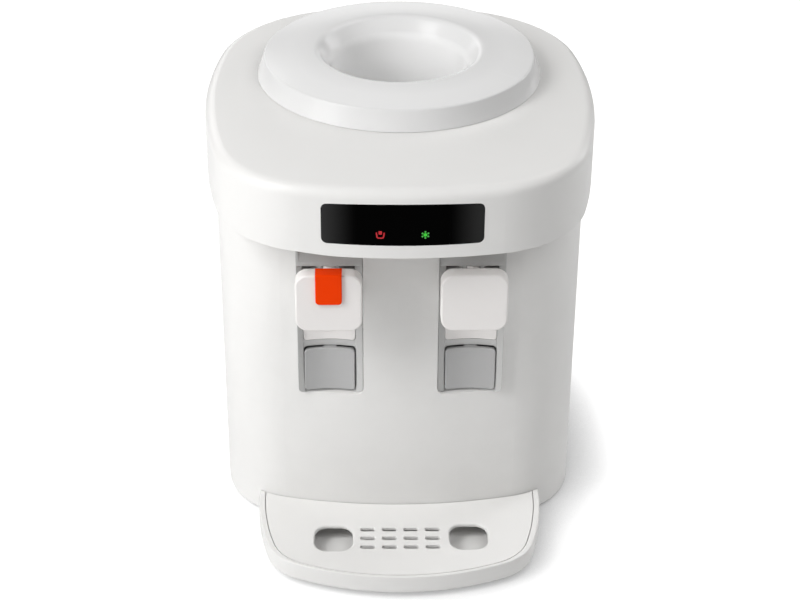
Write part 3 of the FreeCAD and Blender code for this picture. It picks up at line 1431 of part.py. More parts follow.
# Nodes
def allNodes():
    nodes = {
        "body_shell": makeBodyShell(),
        "bonnet": makeBonnet(),
        "underside_plate": makeUndersidePlate(),
        "rear_panel": makeRearPanel(),
        "rear_screws": makeRearScrews(),
        "base_plate": makeBasePlate(),
        "feet": makeFeet(),
        "tank_shelf": makeShelf(),
        "indicator_lens": makeIndicatorLens(),
        "indicator_board": makeIndicatorBoard(),
        "indicator_lamps": makeLamps(),
        "bottle_collar": makeBottleCollar(),
        "tap_screws": makeTapScrews(),
        "child_lock": moved(makeChildLock(), x=-tapX),
        "drip_tray": makeDripTray(),
        "drip_grille": makeDripGrille(),
        "cold_tank": makeColdTank(),
        "tank_foam": makeTankFoam(),
        "tank_lid": makeTankLid(),
        "tank_seal": makeTankSeal(),
        "tank_baffle": makeTankBaffle(),
        "cold_block": makeColdBlock(),
        "cooling_module": makeCoolingModule(),
        "heat_sink": makeHeatSink(),
        "fan_frame": makeFanFrame(),
        "fan_rotor": makeFanRotor(),
        "hot_tank": makeHotTank(),
        "heater_band": makeHeaterBand(),
        "thermostats": makeThermostats(),
        "hot_tank_stand": makeHotStand(),
        "cold_hose": makeColdHose(),
        "hot_hose": makeHotHose(),
        "feed_hose": makeFeedHose(),
        "drain_hose": makeDrainHose(),
        "drain_outlet": makeDrainOutlet(),
        "drain_cap": makeDrainCap(),
        "switch_housings": makeSwitchHousings(),
        "hot_rocker": makeRocker(0),
        "cold_rocker": makeRocker(1),
        "power_inlet": makePowerInlet(),
        "power_board": makePowerBoard(),
    }
    tapPieces = {
        "tap_frame": makeTapFrame(),
        "tap_body": makeTapBody(),
        "tap_cap": makeTapCap(),
        "paddle": makePaddle(),
        "paddle_pin": makePaddlePin(),
        "valve_stem": makeValveStem(),
        "valve_plug": makeValvePlug(),
        "valve_bellows": makeValveBellows(),
        "valve_lid": makeValveLid(),
    }
    for name, shape in tapPieces.items():
        nodes["hot_" + name] = moved(shape, x=-tapX)
        nodes["cold_" + name] = moved(shape, x=tapX)
    lockSlot = moved(lockGuide(gap, capTop - capWall - 1, capTop + 1), x=-tapX)
    nodes["hot_tap_cap"] = nodes["hot_tap_cap"].cut(lockSlot)
    return nodes


os.makedirs("parts", exist_ok=True)
for nodeName, nodeShape in allNodes().items():
    moved(nodeShape, y=footprintShift).exportStep(os.path.join("parts", nodeName + ".step"))
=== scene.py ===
import bpy
import bmesh
import json
import math
from mathutils import Matrix, Vector
from mathutils.bvhtree import BVHTree


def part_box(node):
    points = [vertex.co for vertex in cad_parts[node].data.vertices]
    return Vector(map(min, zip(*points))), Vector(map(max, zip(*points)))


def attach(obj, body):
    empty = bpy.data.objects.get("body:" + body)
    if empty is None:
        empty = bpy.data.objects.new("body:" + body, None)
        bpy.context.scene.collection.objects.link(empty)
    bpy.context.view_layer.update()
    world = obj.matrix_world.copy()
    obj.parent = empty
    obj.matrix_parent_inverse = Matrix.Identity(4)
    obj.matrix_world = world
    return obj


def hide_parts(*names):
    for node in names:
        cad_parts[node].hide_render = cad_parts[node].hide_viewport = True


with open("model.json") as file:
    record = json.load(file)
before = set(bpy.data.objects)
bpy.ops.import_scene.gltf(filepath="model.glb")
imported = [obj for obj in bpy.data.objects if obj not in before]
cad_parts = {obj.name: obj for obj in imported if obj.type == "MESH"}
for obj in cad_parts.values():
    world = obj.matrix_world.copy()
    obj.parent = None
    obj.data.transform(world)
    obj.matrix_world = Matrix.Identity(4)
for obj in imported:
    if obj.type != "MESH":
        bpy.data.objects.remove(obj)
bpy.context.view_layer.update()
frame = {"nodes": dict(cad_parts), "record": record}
nodes = frame["nodes"]
mm = 0.001
print("frame loaded:", len(nodes), "nodes")


# Small helpers for shader trees
def newGroup(name, inputs, outputs):
    group = bpy.data.node_groups.new(name, "ShaderNodeTree")
    for label, kind, value in inputs:
        socket = group.interface.new_socket(label, in_out="INPUT", socket_type=kind)
        socket.default_value = value
    for label, kind in outputs:
        group.interface.new_socket(label, in_out="OUTPUT", socket_type=kind)
    return group, group.nodes.new("NodeGroupInput"), group.nodes.new("NodeGroupOutput")


def put(tree, kind, **values):
    node = tree.nodes.new(kind)
    for key, value in values.items():
        setattr(node, key, value)
    return node


def fill(tree, node, index, value):
    if isinstance(value, (int, float, tuple)):
        node.inputs[index].default_value = value
    elif value is not None:
        tree.links.new(value, node.inputs[index])


def mathNode(tree, operation, first, second=None, clamp=False):
    node = put(tree, "ShaderNodeMath", operation=operation, use_clamp=clamp)
    fill(tree, node, 0, first)
    fill(tree, node, 1, second)
    return node.outputs[0]


def noise(tree, scale, detail=2.0, stretch=None):
    place = put(tree, "ShaderNodeTexCoord").outputs["Object"]
    if stretch:
        mapping = put(tree, "ShaderNodeMapping")
        mapping.inputs["Scale"].default_value = stretch
        tree.links.new(place, mapping.inputs["Vector"])
        place = mapping.outputs["Vector"]
    texture = put(tree, "ShaderNodeTexNoise")
    texture.inputs["Detail"].default_value = detail
    tree.links.new(place, texture.inputs["Vector"])
    fill(tree, texture, "Scale", scale)
    return texture.outputs["Fac"]


# Fine moulded grain with slow, faint waves under it
def buildMouldGrain():
    group, start, end = newGroup(
        "mouldGrain",
        [("Grain Scale", "NodeSocketFloat", 900.0), ("Wave Scale", "NodeSocketFloat", 14.0),
         ("Roughness", "NodeSocketFloat", 0.3), ("Spread", "NodeSocketFloat", 0.05)],
        [("Height", "NodeSocketFloat"), ("Roughness", "NodeSocketFloat"), ("Mask", "NodeSocketFloat")])
    grain = noise(group, start.outputs["Grain Scale"], 3.0)
    waves = noise(group, start.outputs["Wave Scale"], 2.0)
    grainDrift = mathNode(group, "SUBTRACT", grain, 0.5)
    waveDrift = mathNode(group, "SUBTRACT", waves, 0.5)
    drift = mathNode(group, "ADD", grainDrift, waveDrift)
    spread = mathNode(group, "MULTIPLY", drift, start.outputs["Spread"])
    group.links.new(grain, end.inputs["Height"])
    group.links.new(mathNode(group, "ADD", start.outputs["Roughness"], spread), end.inputs["Roughness"])
    group.links.new(waves, end.inputs["Mask"])
    return group


# Edges a little paler, from how sharply the surface turns: partly rubbed wear, partly a painted sheen
def buildEdgeRubAndSheen():
    group, start, end = newGroup(
        "edgeRub",
        [("Start", "NodeSocketFloat", 0.53), ("Width", "NodeSocketFloat", 0.08),
         ("Amount", "NodeSocketFloat", 0.4)],
        [("Mask", "NodeSocketFloat")])
    turn = put(group, "ShaderNodeNewGeometry").outputs["Pointiness"]
    above = mathNode(group, "SUBTRACT", turn, start.outputs["Start"])
    ramp = mathNode(group, "DIVIDE", above, start.outputs["Width"], clamp=True)
    broken = mathNode(group, "MULTIPLY", ramp, noise(group, 60.0))
    group.links.new(mathNode(group, "MULTIPLY", broken, start.outputs["Amount"]), end.inputs["Mask"])
    return group


# A trace of dust where a surface faces up
def buildDustFilm():
    group, start, end = newGroup(
        "dustFilm",
        [("Amount", "NodeSocketFloat", 0.1), ("Scale", "NodeSocketFloat", 35.0)],
        [("Mask", "NodeSocketFloat")])
    split = put(group, "ShaderNodeSeparateXYZ")
    group.links.new(put(group, "ShaderNodeNewGeometry").outputs["Normal"], split.inputs[0])
    up = mathNode(group, "POWER", mathNode(group, "MAXIMUM", split.outputs["Z"], 0.0), 3.0, clamp=True)
    lying = mathNode(group, "MULTIPLY", up, noise(group, start.outputs["Scale"], 6.0))
    group.links.new(mathNode(group, "MULTIPLY", lying, start.outputs["Amount"]), end.inputs["Mask"])
    return group


# Fine parallel lines of rolled or drawn metal
def buildBrushing():
    group, start, end = newGroup(
        "brushing",
        [("Scale", "NodeSocketFloat", 220.0), ("Roughness", "NodeSocketFloat", 0.3),
         ("Spread", "NodeSocketFloat", 0.15)],
        [("Height", "NodeSocketFloat"), ("Roughness", "NodeSocketFloat"), ("Mask", "NodeSocketFloat")])
    lines = noise(group, start.outputs["Scale"], 4.0, (0.06, 0.06, 1.0))
    stains = noise(group, 18.0, 3.0)
    drift = mathNode(group, "SUBTRACT", lines, 0.5)
    spread = mathNode(group, "MULTIPLY", drift, start.outputs["Spread"])
    group.links.new(lines, end.inputs["Height"])
    group.links.new(mathNode(group, "ADD", start.outputs["Roughness"], spread), end.inputs["Roughness"])
    group.links.new(stains, end.inputs["Mask"])
    return group


# Closed cells of rigid foam
def buildFoamCells():
    group, start, end = newGroup(
        "foamCells",
        [("Scale", "NodeSocketFloat", 420.0)],
        [("Height", "NodeSocketFloat"), ("Mask", "NodeSocketFloat")])
    place = put(group, "ShaderNodeTexCoord")
    cells = put(group, "ShaderNodeTexVoronoi")
    group.links.new(place.outputs["Object"], cells.inputs["Vector"])
    group.links.new(start.outputs["Scale"], cells.inputs["Scale"])
    group.links.new(cells.outputs["Distance"], end.inputs["Height"])
    group.links.new(noise(group, 40.0, 5.0), end.inputs["Mask"])
    return group


# Copper tracks that show as paler lines through the lacquer
def buildTracks():
    group, start, end = newGroup(
        "tracks",
        [("Scale", "NodeSocketFloat", 160.0), ("Width", "NodeSocketFloat", 0.12)],
        [("Mask", "NodeSocketFloat")])
    place = put(group, "ShaderNodeTexCoord")
    cells = put(group, "ShaderNodeTexVoronoi", feature="DISTANCE_TO_EDGE")
    cells.inputs["Randomness"].default_value = 0.35
    group.links.new(place.outputs["Object"], cells.inputs["Vector"])
    group.links.new(start.outputs["Scale"], cells.inputs["Scale"])
    group.links.new(mathNode(group, "LESS_THAN", cells.outputs["Distance"], start.outputs["Width"]),
                    end.inputs["Mask"])
    return group


mouldGrain = buildMouldGrain()
edgeRub = buildEdgeRubAndSheen()
dustFilm = buildDustFilm()
brushing = buildBrushing()
foamCells = buildFoamCells()
tracks = buildTracks()
dustColor = (0.55, 0.53, 0.50, 1.0)


def useGroup(tree, group, **values):
    node = put(tree, "ShaderNodeGroup", node_tree=group)
    for key, value in values.items():
        node.inputs[key.replace("_", " ")].default_value = value
    return node


def mixColor(tree, factor, first, second):
    node = put(tree, "ShaderNodeMix", data_type="RGBA")
    fill(tree, node, 0, factor)
    fill(tree, node, 6, first)
    fill(tree, node, 7, second)
    return node.outputs[2]


def shade(color, factor):
    return tuple(min(1.0, channel * factor) for channel in color[:3]) + (1.0,)


def newMaterial(name, metallic=0.0, coat=0.0, specular=0.5):
    material = bpy.data.materials.new(name)
    material.use_nodes = True
    tree = material.node_tree
    shader = tree.nodes["Principled BSDF"]
    shader.inputs["IOR"].default_value = 1.49
    shader.inputs["Metallic"].default_value = metallic
    shader.inputs["Coat Weight"].default_value = coat
    shader.inputs["Coat Roughness"].default_value = 0.08
    shader.inputs["Specular IOR Level"].default_value = specular
    return material, tree, shader


def addBump(tree, shader, height, strength, distance):
    bump = put(tree, "ShaderNodeBump")
    bump.inputs["Strength"].default_value = strength
    bump.inputs["Distance"].default_value = distance
    tree.links.new(height, bump.inputs["Height"])
    tree.links.new(bump.outputs["Normal"], shader.inputs["Normal"])


# Moulded plastic, rubber or ceramic; grain is the relief's height in mm
def moulded(name, color, roughness, grain=0.04, coat=0.0, rub=0.3, dust=0.05, variation=0.02, specular=0.5):
    material, tree, shader = newMaterial(name, coat=coat, specular=specular)
    texture = useGroup(tree, mouldGrain, Roughness=roughness)
    wornAndSheen = useGroup(tree, edgeRub, Amount=rub)
    dusty = useGroup(tree, dustFilm, Amount=dust)
    tone = mixColor(tree, texture.outputs["Mask"], shade(color, 1.0 - variation), shade(color, 1.0))
    # edges paler: partly rubbed wear, partly a painted sheen
    rubbedAndSheen = mixColor(tree, wornAndSheen.outputs["Mask"], tone, shade(color, 1.12))
    film = mixColor(tree, dusty.outputs["Mask"], rubbedAndSheen, dustColor)
    tree.links.new(film, shader.inputs["Base Color"])
    duller = mathNode(tree, "MULTIPLY", dusty.outputs["Mask"], 0.5)
    rough = mathNode(tree, "ADD", texture.outputs["Roughness"], duller)
    tree.links.new(rough, shader.inputs["Roughness"])
    addBump(tree, shader, texture.outputs["Height"], 0.15, grain * mm)
    return material


# Turned piece whose tone changes with the distance from its axis, as painted light and shade: lighter in
# the throat, darker on the outer band; stops of (radius in mm, factor)
def turned(name, color, axis, paintedLightShadeStops, **values):
    material = moulded(name, color, **values)
    tree = material.node_tree
    shader = tree.nodes["Principled BSDF"]
    wornAndSheen = shader.inputs["Base Color"].links[0].from_socket
    place = put(tree, "ShaderNodeTexCoord")
    away = put(tree, "ShaderNodeMapping")
    away.inputs["Location"].default_value = (0.0, -axis * mm, 0.0)
    away.inputs["Scale"].default_value = (1.0, 1.0, 0.0)
    tree.links.new(place.outputs["Object"], away.inputs["Vector"])
    radius = put(tree, "ShaderNodeVectorMath", operation="LENGTH")
    tree.links.new(away.outputs["Vector"], radius.inputs[0])
    first, last = paintedLightShadeStops[0][0], paintedLightShadeStops[-1][0]
    ramp = put(tree, "ShaderNodeValToRGB")
    stops = ramp.color_ramp.elements
    while len(stops) < len(paintedLightShadeStops):
        stops.new(1.0)
    for stop, (distance, tone) in zip(stops, paintedLightShadeStops):
        stop.position = (distance - first) / (last - first)
        stop.color = (tone, tone, tone, 1.0)
    span = put(tree, "ShaderNodeMapRange")
    span.inputs["From Min"].default_value = first * mm
    span.inputs["From Max"].default_value = last * mm
    tree.links.new(radius.outputs["Value"], span.inputs["Value"])
    tree.links.new(span.outputs["Result"], ramp.inputs["Fac"])
    # painted light and shade: the throat lighter, the outer band darker
    paintedLightAndShade = put(tree, "ShaderNodeMix", data_type="RGBA", blend_type="MULTIPLY")
    paintedLightAndShade.inputs[0].default_value = 1.0
    tree.links.new(wornAndSheen, paintedLightAndShade.inputs[6])
    tree.links.new(ramp.outputs["Color"], paintedLightAndShade.inputs[7])
    tree.links.new(paintedLightAndShade.outputs[2], shader.inputs["Base Color"])
    return material


# Rolled or drawn metal; scale is how fine its lines are
def metal(name, color, roughness, scale=220.0):
    material, tree, shader = newMaterial(name, metallic=1.0)
    lines = useGroup(tree, brushing, Scale=scale, Roughness=roughness)
    wornAndSheen = useGroup(tree, edgeRub, Amount=0.5)
    tone = mixColor(tree, lines.outputs["Mask"], shade(color, 0.88), shade(color, 1.0))
    # edges paler: partly rubbed wear, partly a painted sheen
    rubbedAndSheen = mixColor(tree, wornAndSheen.outputs["Mask"], tone, shade(color, 1.2))
    tree.links.new(rubbedAndSheen, shader.inputs["Base Color"])
    tree.links.new(lines.outputs["Roughness"], shader.inputs["Roughness"])
    addBump(tree, shader, lines.outputs["Height"], 0.3, 0.02 * mm)
    return material


# Rigid foam
def foamed(name, color, roughness):
    material, tree, shader = newMaterial(name)
    cells = useGroup(tree, foamCells)
    tone = mixColor(tree, cells.outputs["Mask"], shade(color, 0.86), shade(color, 1.05))
    tree.links.new(tone, shader.inputs["Base Color"])
    rough = mathNode(tree, "MULTIPLY", cells.outputs["Mask"], 0.2)
    tree.links.new(mathNode(tree, "ADD", rough, roughness), shader.inputs["Roughness"])
    addBump(tree, shader, cells.outputs["Height"], 0.6, 0.6 * mm)
    return material


# Circuit board under its lacquer
def lacquered(name, color, trackColor, roughness):
    material, tree, shader = newMaterial(name, coat=0.3)
    lines = useGroup(tree, tracks)
    texture = useGroup(tree, mouldGrain, Roughness=roughness)
    tone = mixColor(tree, lines.outputs["Mask"], shade(color, 1.0), shade(trackColor, 1.0))
    tree.links.new(tone, shader.inputs["Base Color"])
    tree.links.new(texture.outputs["Roughness"], shader.inputs["Roughness"])
    addBump(tree, shader, lines.outputs["Mask"], 0.3, 0.05 * mm)
    return material


# Smoked acrylic: black in the middle, with a painted reflection that turns it grey towards its ends
def smokedWithPaintedReflection(name, black, grey, start, reach, roughness, specular):
    material, tree, shader = newMaterial(name, specular=specular)
    texture = useGroup(tree, mouldGrain, Grain_Scale=400.0, Roughness=roughness, Spread=0.03)
    place = put(tree, "ShaderNodeTexCoord")
    split = put(tree, "ShaderNodeSeparateXYZ")
    tree.links.new(place.outputs["Object"], split.inputs[0])
    aside = mathNode(tree, "ABSOLUTE", split.outputs["X"])
    ramp = put(tree, "ShaderNodeMapRange", interpolation_type="SMOOTHSTEP")
    ramp.inputs["From Min"].default_value = start * mm
    ramp.inputs["From Max"].default_value = (start + reach) * mm
    tree.links.new(aside, ramp.inputs["Value"])
    # painted reflection: grey towards the window's ends
    tone = mixColor(tree, ramp.outputs["Result"], shade(black, 1.0), shade(grey, 1.0))
    tree.links.new(tone, shader.inputs["Base Color"])
    tree.links.new(texture.outputs["Roughness"], shader.inputs["Roughness"])
    addBump(tree, shader, texture.outputs["Height"], 0.05, 0.01 * mm)
    return material


# A lit mark: its own colour shines, a little unevenly
def litMark(name, color, strength):
    material, tree, shader = newMaterial(name)
    texture = useGroup(tree, mouldGrain, Grain_Scale=300.0, Wave_Scale=260.0, Roughness=0.35)
    glow = mixColor(tree, texture.outputs["Mask"], shade(color, 0.85), shade(color, 1.15))
    unlit = mixColor(tree, texture.outputs["Mask"], shade(color, 0.1), shade(color, 0.14))
    tree.links.new(unlit, shader.inputs["Base Color"])
    tree.links.new(glow, shader.inputs["Emission Color"])
    shader.inputs["Emission Strength"].default_value = strength
    tree.links.new(texture.outputs["Roughness"], shader.inputs["Roughness"])
    return material


collarLow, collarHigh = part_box("bottle_collar")
collarAxis = (collarLow.y + collarHigh.y) / 2 / mm
finishes = {
    "housing_plastic": (moulded, dict(color=(0.80, 0.794, 0.78), roughness=0.36, specular=0.3)),
    # collar: painted light in the throat and painted shade on the outer band, by radius
    "collar_plastic": (turned, dict(
        color=(0.785, 0.783, 0.78), roughness=0.17, specular=0.16, axis=collarAxis,
        paintedLightShadeStops=[(54.0, 1.19), (54.3, 1.14), (56.5, 0.99), (62.5, 0.98), (66.0, 0.98), (85.0, 1.03),
               (104.0, 1.02), (105.5, 0.93), (112.0, 0.92)])),
    "grey_plastic": (moulded, dict(color=(0.555, 0.555, 0.548), roughness=0.38)),
    "paddle_plastic": (moulded, dict(color=(0.455, 0.455, 0.455), roughness=0.35)),
    "tap_plastic": (moulded, dict(color=(0.86, 0.835, 0.82), roughness=0.32, specular=0.4)),
    "orange_plastic": (moulded, dict(color=(0.92, 0.050, 0.0005), roughness=0.32, specular=0.04, dust=0.0)),
    # window: black, with a painted reflection grey towards its ends
    "lens_acrylic": (smokedWithPaintedReflection, dict(black=(0.0003, 0.0003, 0.0003), grey=(0.031, 0.031, 0.031), start=32.0,
                                  reach=30.0, roughness=0.12, specular=0.015)),
    "steel": (metal, dict(color=(0.60, 0.60, 0.61), roughness=0.28)),
    "screw_steel": (metal, dict(color=(0.50, 0.50, 0.52), roughness=0.30, scale=600.0)),
    "aluminium": (metal, dict(color=(0.68, 0.69, 0.70), roughness=0.40)),
    "foam": (foamed, dict(color=(0.80, 0.77, 0.68), roughness=0.75)),
    "silicone": (moulded, dict(color=(0.72, 0.72, 0.70), roughness=0.45, coat=0.1)),
    "black_rubber": (moulded, dict(color=(0.02, 0.02, 0.02), roughness=0.75, grain=0.2)),
    "black_plastic": (moulded, dict(color=(0.018, 0.018, 0.019), roughness=0.42, grain=0.12)),
    "base_plastic": (moulded, dict(color=(0.10, 0.10, 0.105), roughness=0.55, grain=0.2)),
    "inner_plastic": (moulded, dict(color=(0.72, 0.72, 0.70), roughness=0.45)),
    "red_plastic": (moulded, dict(color=(0.50, 0.012, 0.010), roughness=0.25)),
    "green_plastic": (moulded, dict(color=(0.012, 0.22, 0.05), roughness=0.25)),
    "circuit_board": (lacquered, dict(color=(0.012, 0.11, 0.035), trackColor=(0.03, 0.22, 0.07),
                                      roughness=0.35)),
    "lamp_clear": (moulded, dict(color=(0.80, 0.80, 0.80), roughness=0.12)),
    "ceramic": (moulded, dict(color=(0.78, 0.78, 0.76), roughness=0.6)),
    "mica": (metal, dict(color=(0.40, 0.37, 0.33), roughness=0.45)),
}
materials = {name: make(name + "Finish", **values) for name, (make, values) in finishes.items()}
slots = {part["node"]: part["material_slot"] for part in frame["record"]["subparts"]}
for name, node in nodes.items():
    if not node.material_slots:
        node.data.materials.append(materials[slots[name]])
    for place in node.material_slots:
        place.material = materials[slots[name]]
print("materials assigned")


# The indicator window, placed from the construction's lens; all in mm
lensLow, lensHigh = (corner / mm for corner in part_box("indicator_lens"))
window = {
    "halfWidth": lensHigh.x + 0.6,
    "bottom": lensLow.z - 1.2,
    "endTop": lensHigh.z - 2.8,
    "middleTop": lensHigh.z - 1.3,
    "corner": 4.3,
    "proud": 0.15,          # how far its face stands off the bonnet
    "edge": 0.5,            # rounding round its face, and how much of it shows as depth
    "edgeDepth": 0.15,
    "thickness": 1.6,
    "backInset": 0.05,
    "cornerSteps": 8,
    "acrossSteps": 28,
    "edgeSteps": 4,
}


# The front of an upright surface, so a place on it depends on x alone
def frontOf(name, height):
    mesh = nodes[name].data
    surface = BVHTree.FromPolygons([vertex.co.copy() for vertex in mesh.vertices],
                                   [tuple(polygon.vertices) for polygon in mesh.polygons])
    return lambda x: surface.ray_cast(Vector((x, -1.0, height)), Vector((0.0, 1.0, 0.0)))[0].y


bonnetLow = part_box("bonnet")[0]
bonnetFront = frontOf("bonnet", bonnetLow.z + 4.0 * mm)
bodyFront = frontOf("body_shell", 100.0 * mm)


def topLine(x, halfWidth, endTop, middleTop):
    return endTop + (middleTop - endTop) * (1 - (x / halfWidth) ** 2)


# Points round the window, counter-clockwise from the right-hand end of its lower edge
def windowOutline(grow=0.0, topGrow=None):
    topGrow = grow if topGrow is None else topGrow
    half = window["halfWidth"] + grow
    low = window["bottom"] - grow
    high = window["endTop"] + topGrow
    crown = window["middleTop"] + topGrow
    radius = window["corner"] + grow
    reach = half - radius

    def cornerArc(side, start, upper):
        arc = []
        for step in range(window["cornerSteps"] + 1):
            turn = start + math.pi / 2 * step / window["cornerSteps"]
            x = side * reach + radius * math.cos(turn)
            middle = topLine(x, half, high, crown) - radius if upper else low + radius
            arc.append((x, middle + radius * math.sin(turn)))
        return arc

    across = [reach * (1 - 2 * step / window["acrossSteps"]) for step in range(1, window["acrossSteps"])]
    top = [(x, topLine(x, half, high, crown)) for x in across]
    bottom = [(-x, low) for x in across]
    right = cornerArc(1, -math.pi / 2, False) + cornerArc(1, 0.0, True)
    left = cornerArc(-1, math.pi / 2, True) + cornerArc(-1, math.pi, False)
    return right + top + left + bottom


def ringOf(shape, outline, proud):
    return [shape.verts.new((x * mm, bonnetFront(x * mm) - proud * mm, z * mm)) for x, z in outline]


def bridge(shape, first, second):
    for index in range(len(first)):
        after = (index + 1) % len(first)
        shape.faces.new((first[index], first[after], second[after], second[index]))


def addPiece(name, shape, finish, body="housing", smooth=True):
    mesh = bpy.data.meshes.new(name)
    bmesh.ops.recalc_face_normals(shape, faces=shape.faces)
    for face in shape.faces:
        face.smooth = smooth
    shape.to_mesh(mesh)
    shape.free()
    piece = bpy.data.objects.new(name, mesh)
    bpy.context.scene.collection.objects.link(piece)
    mesh.materials.append(finish)
    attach(piece, body)
    return piece


# Rings from the back of the window round its edge, then its face in columns
def makeWindow():
    shape = bmesh.new()
    back = ringOf(shape, windowOutline(-window["backInset"]), -window["thickness"])
    rings = [back]
    for step in range(window["edgeSteps"] + 1):
        turn = math.pi / 2 * step / window["edgeSteps"]
        inset = window["edge"] * (1 - math.cos(turn))
        proud = window["proud"] - window["edgeDepth"] * (1 - math.sin(turn))
        rings.append(ringOf(shape, windowOutline(-inset), proud))
    for first, second in zip(rings, rings[1:]):
        bridge(shape, first, second)
    # the ring runs right side, top, left side, bottom: join top and bottom across
    face = rings[-1]
    corner = window["cornerSteps"] + 1
    topEnd = 3 * corner + window["acrossSteps"] - 1
    top = face[corner:topEnd]
    bottom = (face[topEnd:] + face[:corner])[::-1]
    for index in range(len(top) - 1):
        shape.faces.new((top[index], top[index + 1], bottom[index + 1], bottom[index]))
    shape.faces.new(back[::-1])
    return addPiece("indicatorWindow", shape, materials["lens_acrylic"])


# Moulded rim round the window, wider at the top. Its section, in mm: how far out at the sides and
# below, how far out at the top, and how far off the bonnet
rimSection = [(0.12, 0.12, -1.2), (0.12, 0.12, 0.024), (0.25, 0.25, 0.06),
              (0.63, 1.76, 0.06), (0.9, 2.2, -0.1), (0.9, 2.2, -1.2)]


def makeWindowRim():
    shape = bmesh.new()
    rings = [ringOf(shape, windowOutline(out, top), proud) for out, top, proud in rimSection]
    for first, second in zip(rings, rings[1:] + rings[:1]):
        bridge(shape, first, second)
    addPiece("windowRim", shape, materials["housing_plastic"])


# The taps' visible shapes: what differs from the construction, with x from the middle of each tap, in mm
taps = {
    "hot": dict(windowShift=-0.6, paddleShift=-0.6, capShift=0.25),
    "cold": dict(windowShift=0.0, paddleShift=0.0, capShift=-0.3),
    "troughY": -153.5,      # middle and radius of the hollow in the frame's front
    "troughRadius": 65.0,
    "widen": 0.8,           # of the openings for paddle and plate, to each side
    "thin": 1.2,            # taken off the crossbar's lower side, and off its upper side
}
for name in ("hot", "cold"):
    frameLow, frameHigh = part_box(name + "_tap_frame")
    taps[name]["x"] = (frameLow.x + frameHigh.x) / 2 / mm
taps["face"] = frameLow.y / mm


# A copy of a node's mesh whose vertices are moved, in place of the node
def reshaped(nodeName, pieceName, place, move, body, keepNormals=False):
    mesh = nodes[nodeName].data.copy()
    mesh.name = pieceName
    for vertex in mesh.vertices:
        x, y, z = vertex.co / mm
        x, y, z = move(place, x - place["x"], y, z)
        vertex.co = Vector((x + place["x"], y, z)) * mm
    if not keepNormals:
        mesh.attributes.remove(mesh.attributes["custom_normal"])
        mesh.set_sharp_from_angle(angle=math.radians(28))
    piece = bpy.data.objects.new(pieceName, mesh)
    bpy.context.scene.collection.objects.link(piece)
    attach(piece, body)
    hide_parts(nodeName)


def between(value, low, high, slack=0.1):
    return low - slack < value < high + slack


# Frame: a ramp in place of the channel, wider and deeper openings, a slimmer crossbar
tapFrame = {
    "paddleOpening": (127.8, 166.6),    # z of its floor and top
    "plateOpening": (174.8, 241.2),
    "lip": 128.3,           # top of the lip on the paddle opening's floor
    "lipRoom": 0.6,         # how far the floor and the lip go down
    "corner": 3.0,          # height of the openings' rounded corners
    "half": 20.8,           # half width within which the openings' walls and corners lie
    "wall": 16.0,           # what lies farther out than this is widened
    "hollowHalf": 19.4,     # half width of the hollow beside the paddle
    "hollowLow": 128.7,     # above this it goes deeper, and below it only a little
    "hollowDeeper": 1.3,
    "lipDeeper": 0.3,
    "hingeHalf": 15.0,      # the pin's lugs lie nearer the middle than this, and behind this y
    "hingeFront": -86.6,
    "channelLow": 244.6,
    "channelHalf": 23.1,
    "channelFloor": -91.0,
    "rampFoot": -93.42,     # y of the ramp at its foot, and how far it goes back over its height
    "rampDepth": 2.4,
    "rampHeight": 17.4,
}


def onTrough(x, y, slack=0.05):
    return abs(math.hypot(x, y - taps["troughY"]) - taps["troughRadius"]) < slack


def frameShape(tap, x, y, z):
    cut = tapFrame
    paddleLow, paddleHigh = cut["paddleOpening"]
    plateLow, plateHigh = cut["plateOpening"]
    inPaddle = between(z, paddleLow, paddleHigh)
    inPlate = between(z, plateLow, plateHigh)
    inside = abs(x) < cut["half"]
    onChannel = abs(x) < cut["channelHalf"] and abs(y - cut["channelFloor"]) < 0.1
    if onChannel and z > cut["channelLow"] - 0.1:
        rise = max((z - cut["channelLow"]) / cut["rampHeight"], 0.0)
        return x, cut["rampFoot"] + cut["rampDepth"] * rise, z
    newX, newY, newZ = x, y, z
    if (inPaddle or inPlate) and cut["wall"] < abs(x) < cut["half"]:
        newX += math.copysign(taps["widen"], x)
    atHinge = abs(x) < cut["hingeHalf"] and y > cut["hingeFront"]
    if (inPaddle or inPlate) and inside and not atHinge:
        newX += tap["windowShift"]
    if inPaddle and abs(x) < cut["hollowHalf"] and onTrough(x, y):
        newY += cut["hollowDeeper"] if z > cut["hollowLow"] else cut["lipDeeper"]
    if inside and between(z, paddleLow, cut["lip"]):
        newZ -= cut["lipRoom"]
    if inside and between(z, paddleHigh - cut["corner"], paddleHigh):
        newZ += taps["thin"]
    if inside and between(z, plateLow, plateLow + cut["corner"]):
        newZ -= taps["thin"]
    return newX, newY, newZ


# Paddle: a larger plate, farther out; its hinge stays
paddle = {
    "hingeY": -85.5,        # what lies behind this or above that belongs to the hinge
    "hingeZ": 166.0,
    "middle": 15.0,         # what lies farther from the middle is widened
    "widen": 0.6,
    "out": 1.3,
    "thickness": 0.9,       # how far behind the hollow's curve the front surface reaches
    "upperEdge": 160.0,
    "rise": 0.4,
    "lowerEdge": 134.0,
    "drop": 0.6,
}


def paddleShape(tap, x, y, z):
    if y > paddle["hingeY"] or z > paddle["hingeZ"]:
        return x, y, z
    newX = x + tap["paddleShift"]
    if abs(x) > paddle["middle"]:
        newX += math.copysign(paddle["widen"], x)
    if math.hypot(x, y - taps["troughY"]) >= taps["troughRadius"] + paddle["thickness"]:
        return newX, y, z
    newZ = z
    if z > paddle["upperEdge"]:
        newZ += paddle["rise"]
    if z < paddle["lowerEdge"]:
        newZ -= paddle["drop"]
    return newX, y - paddle["out"], newZ


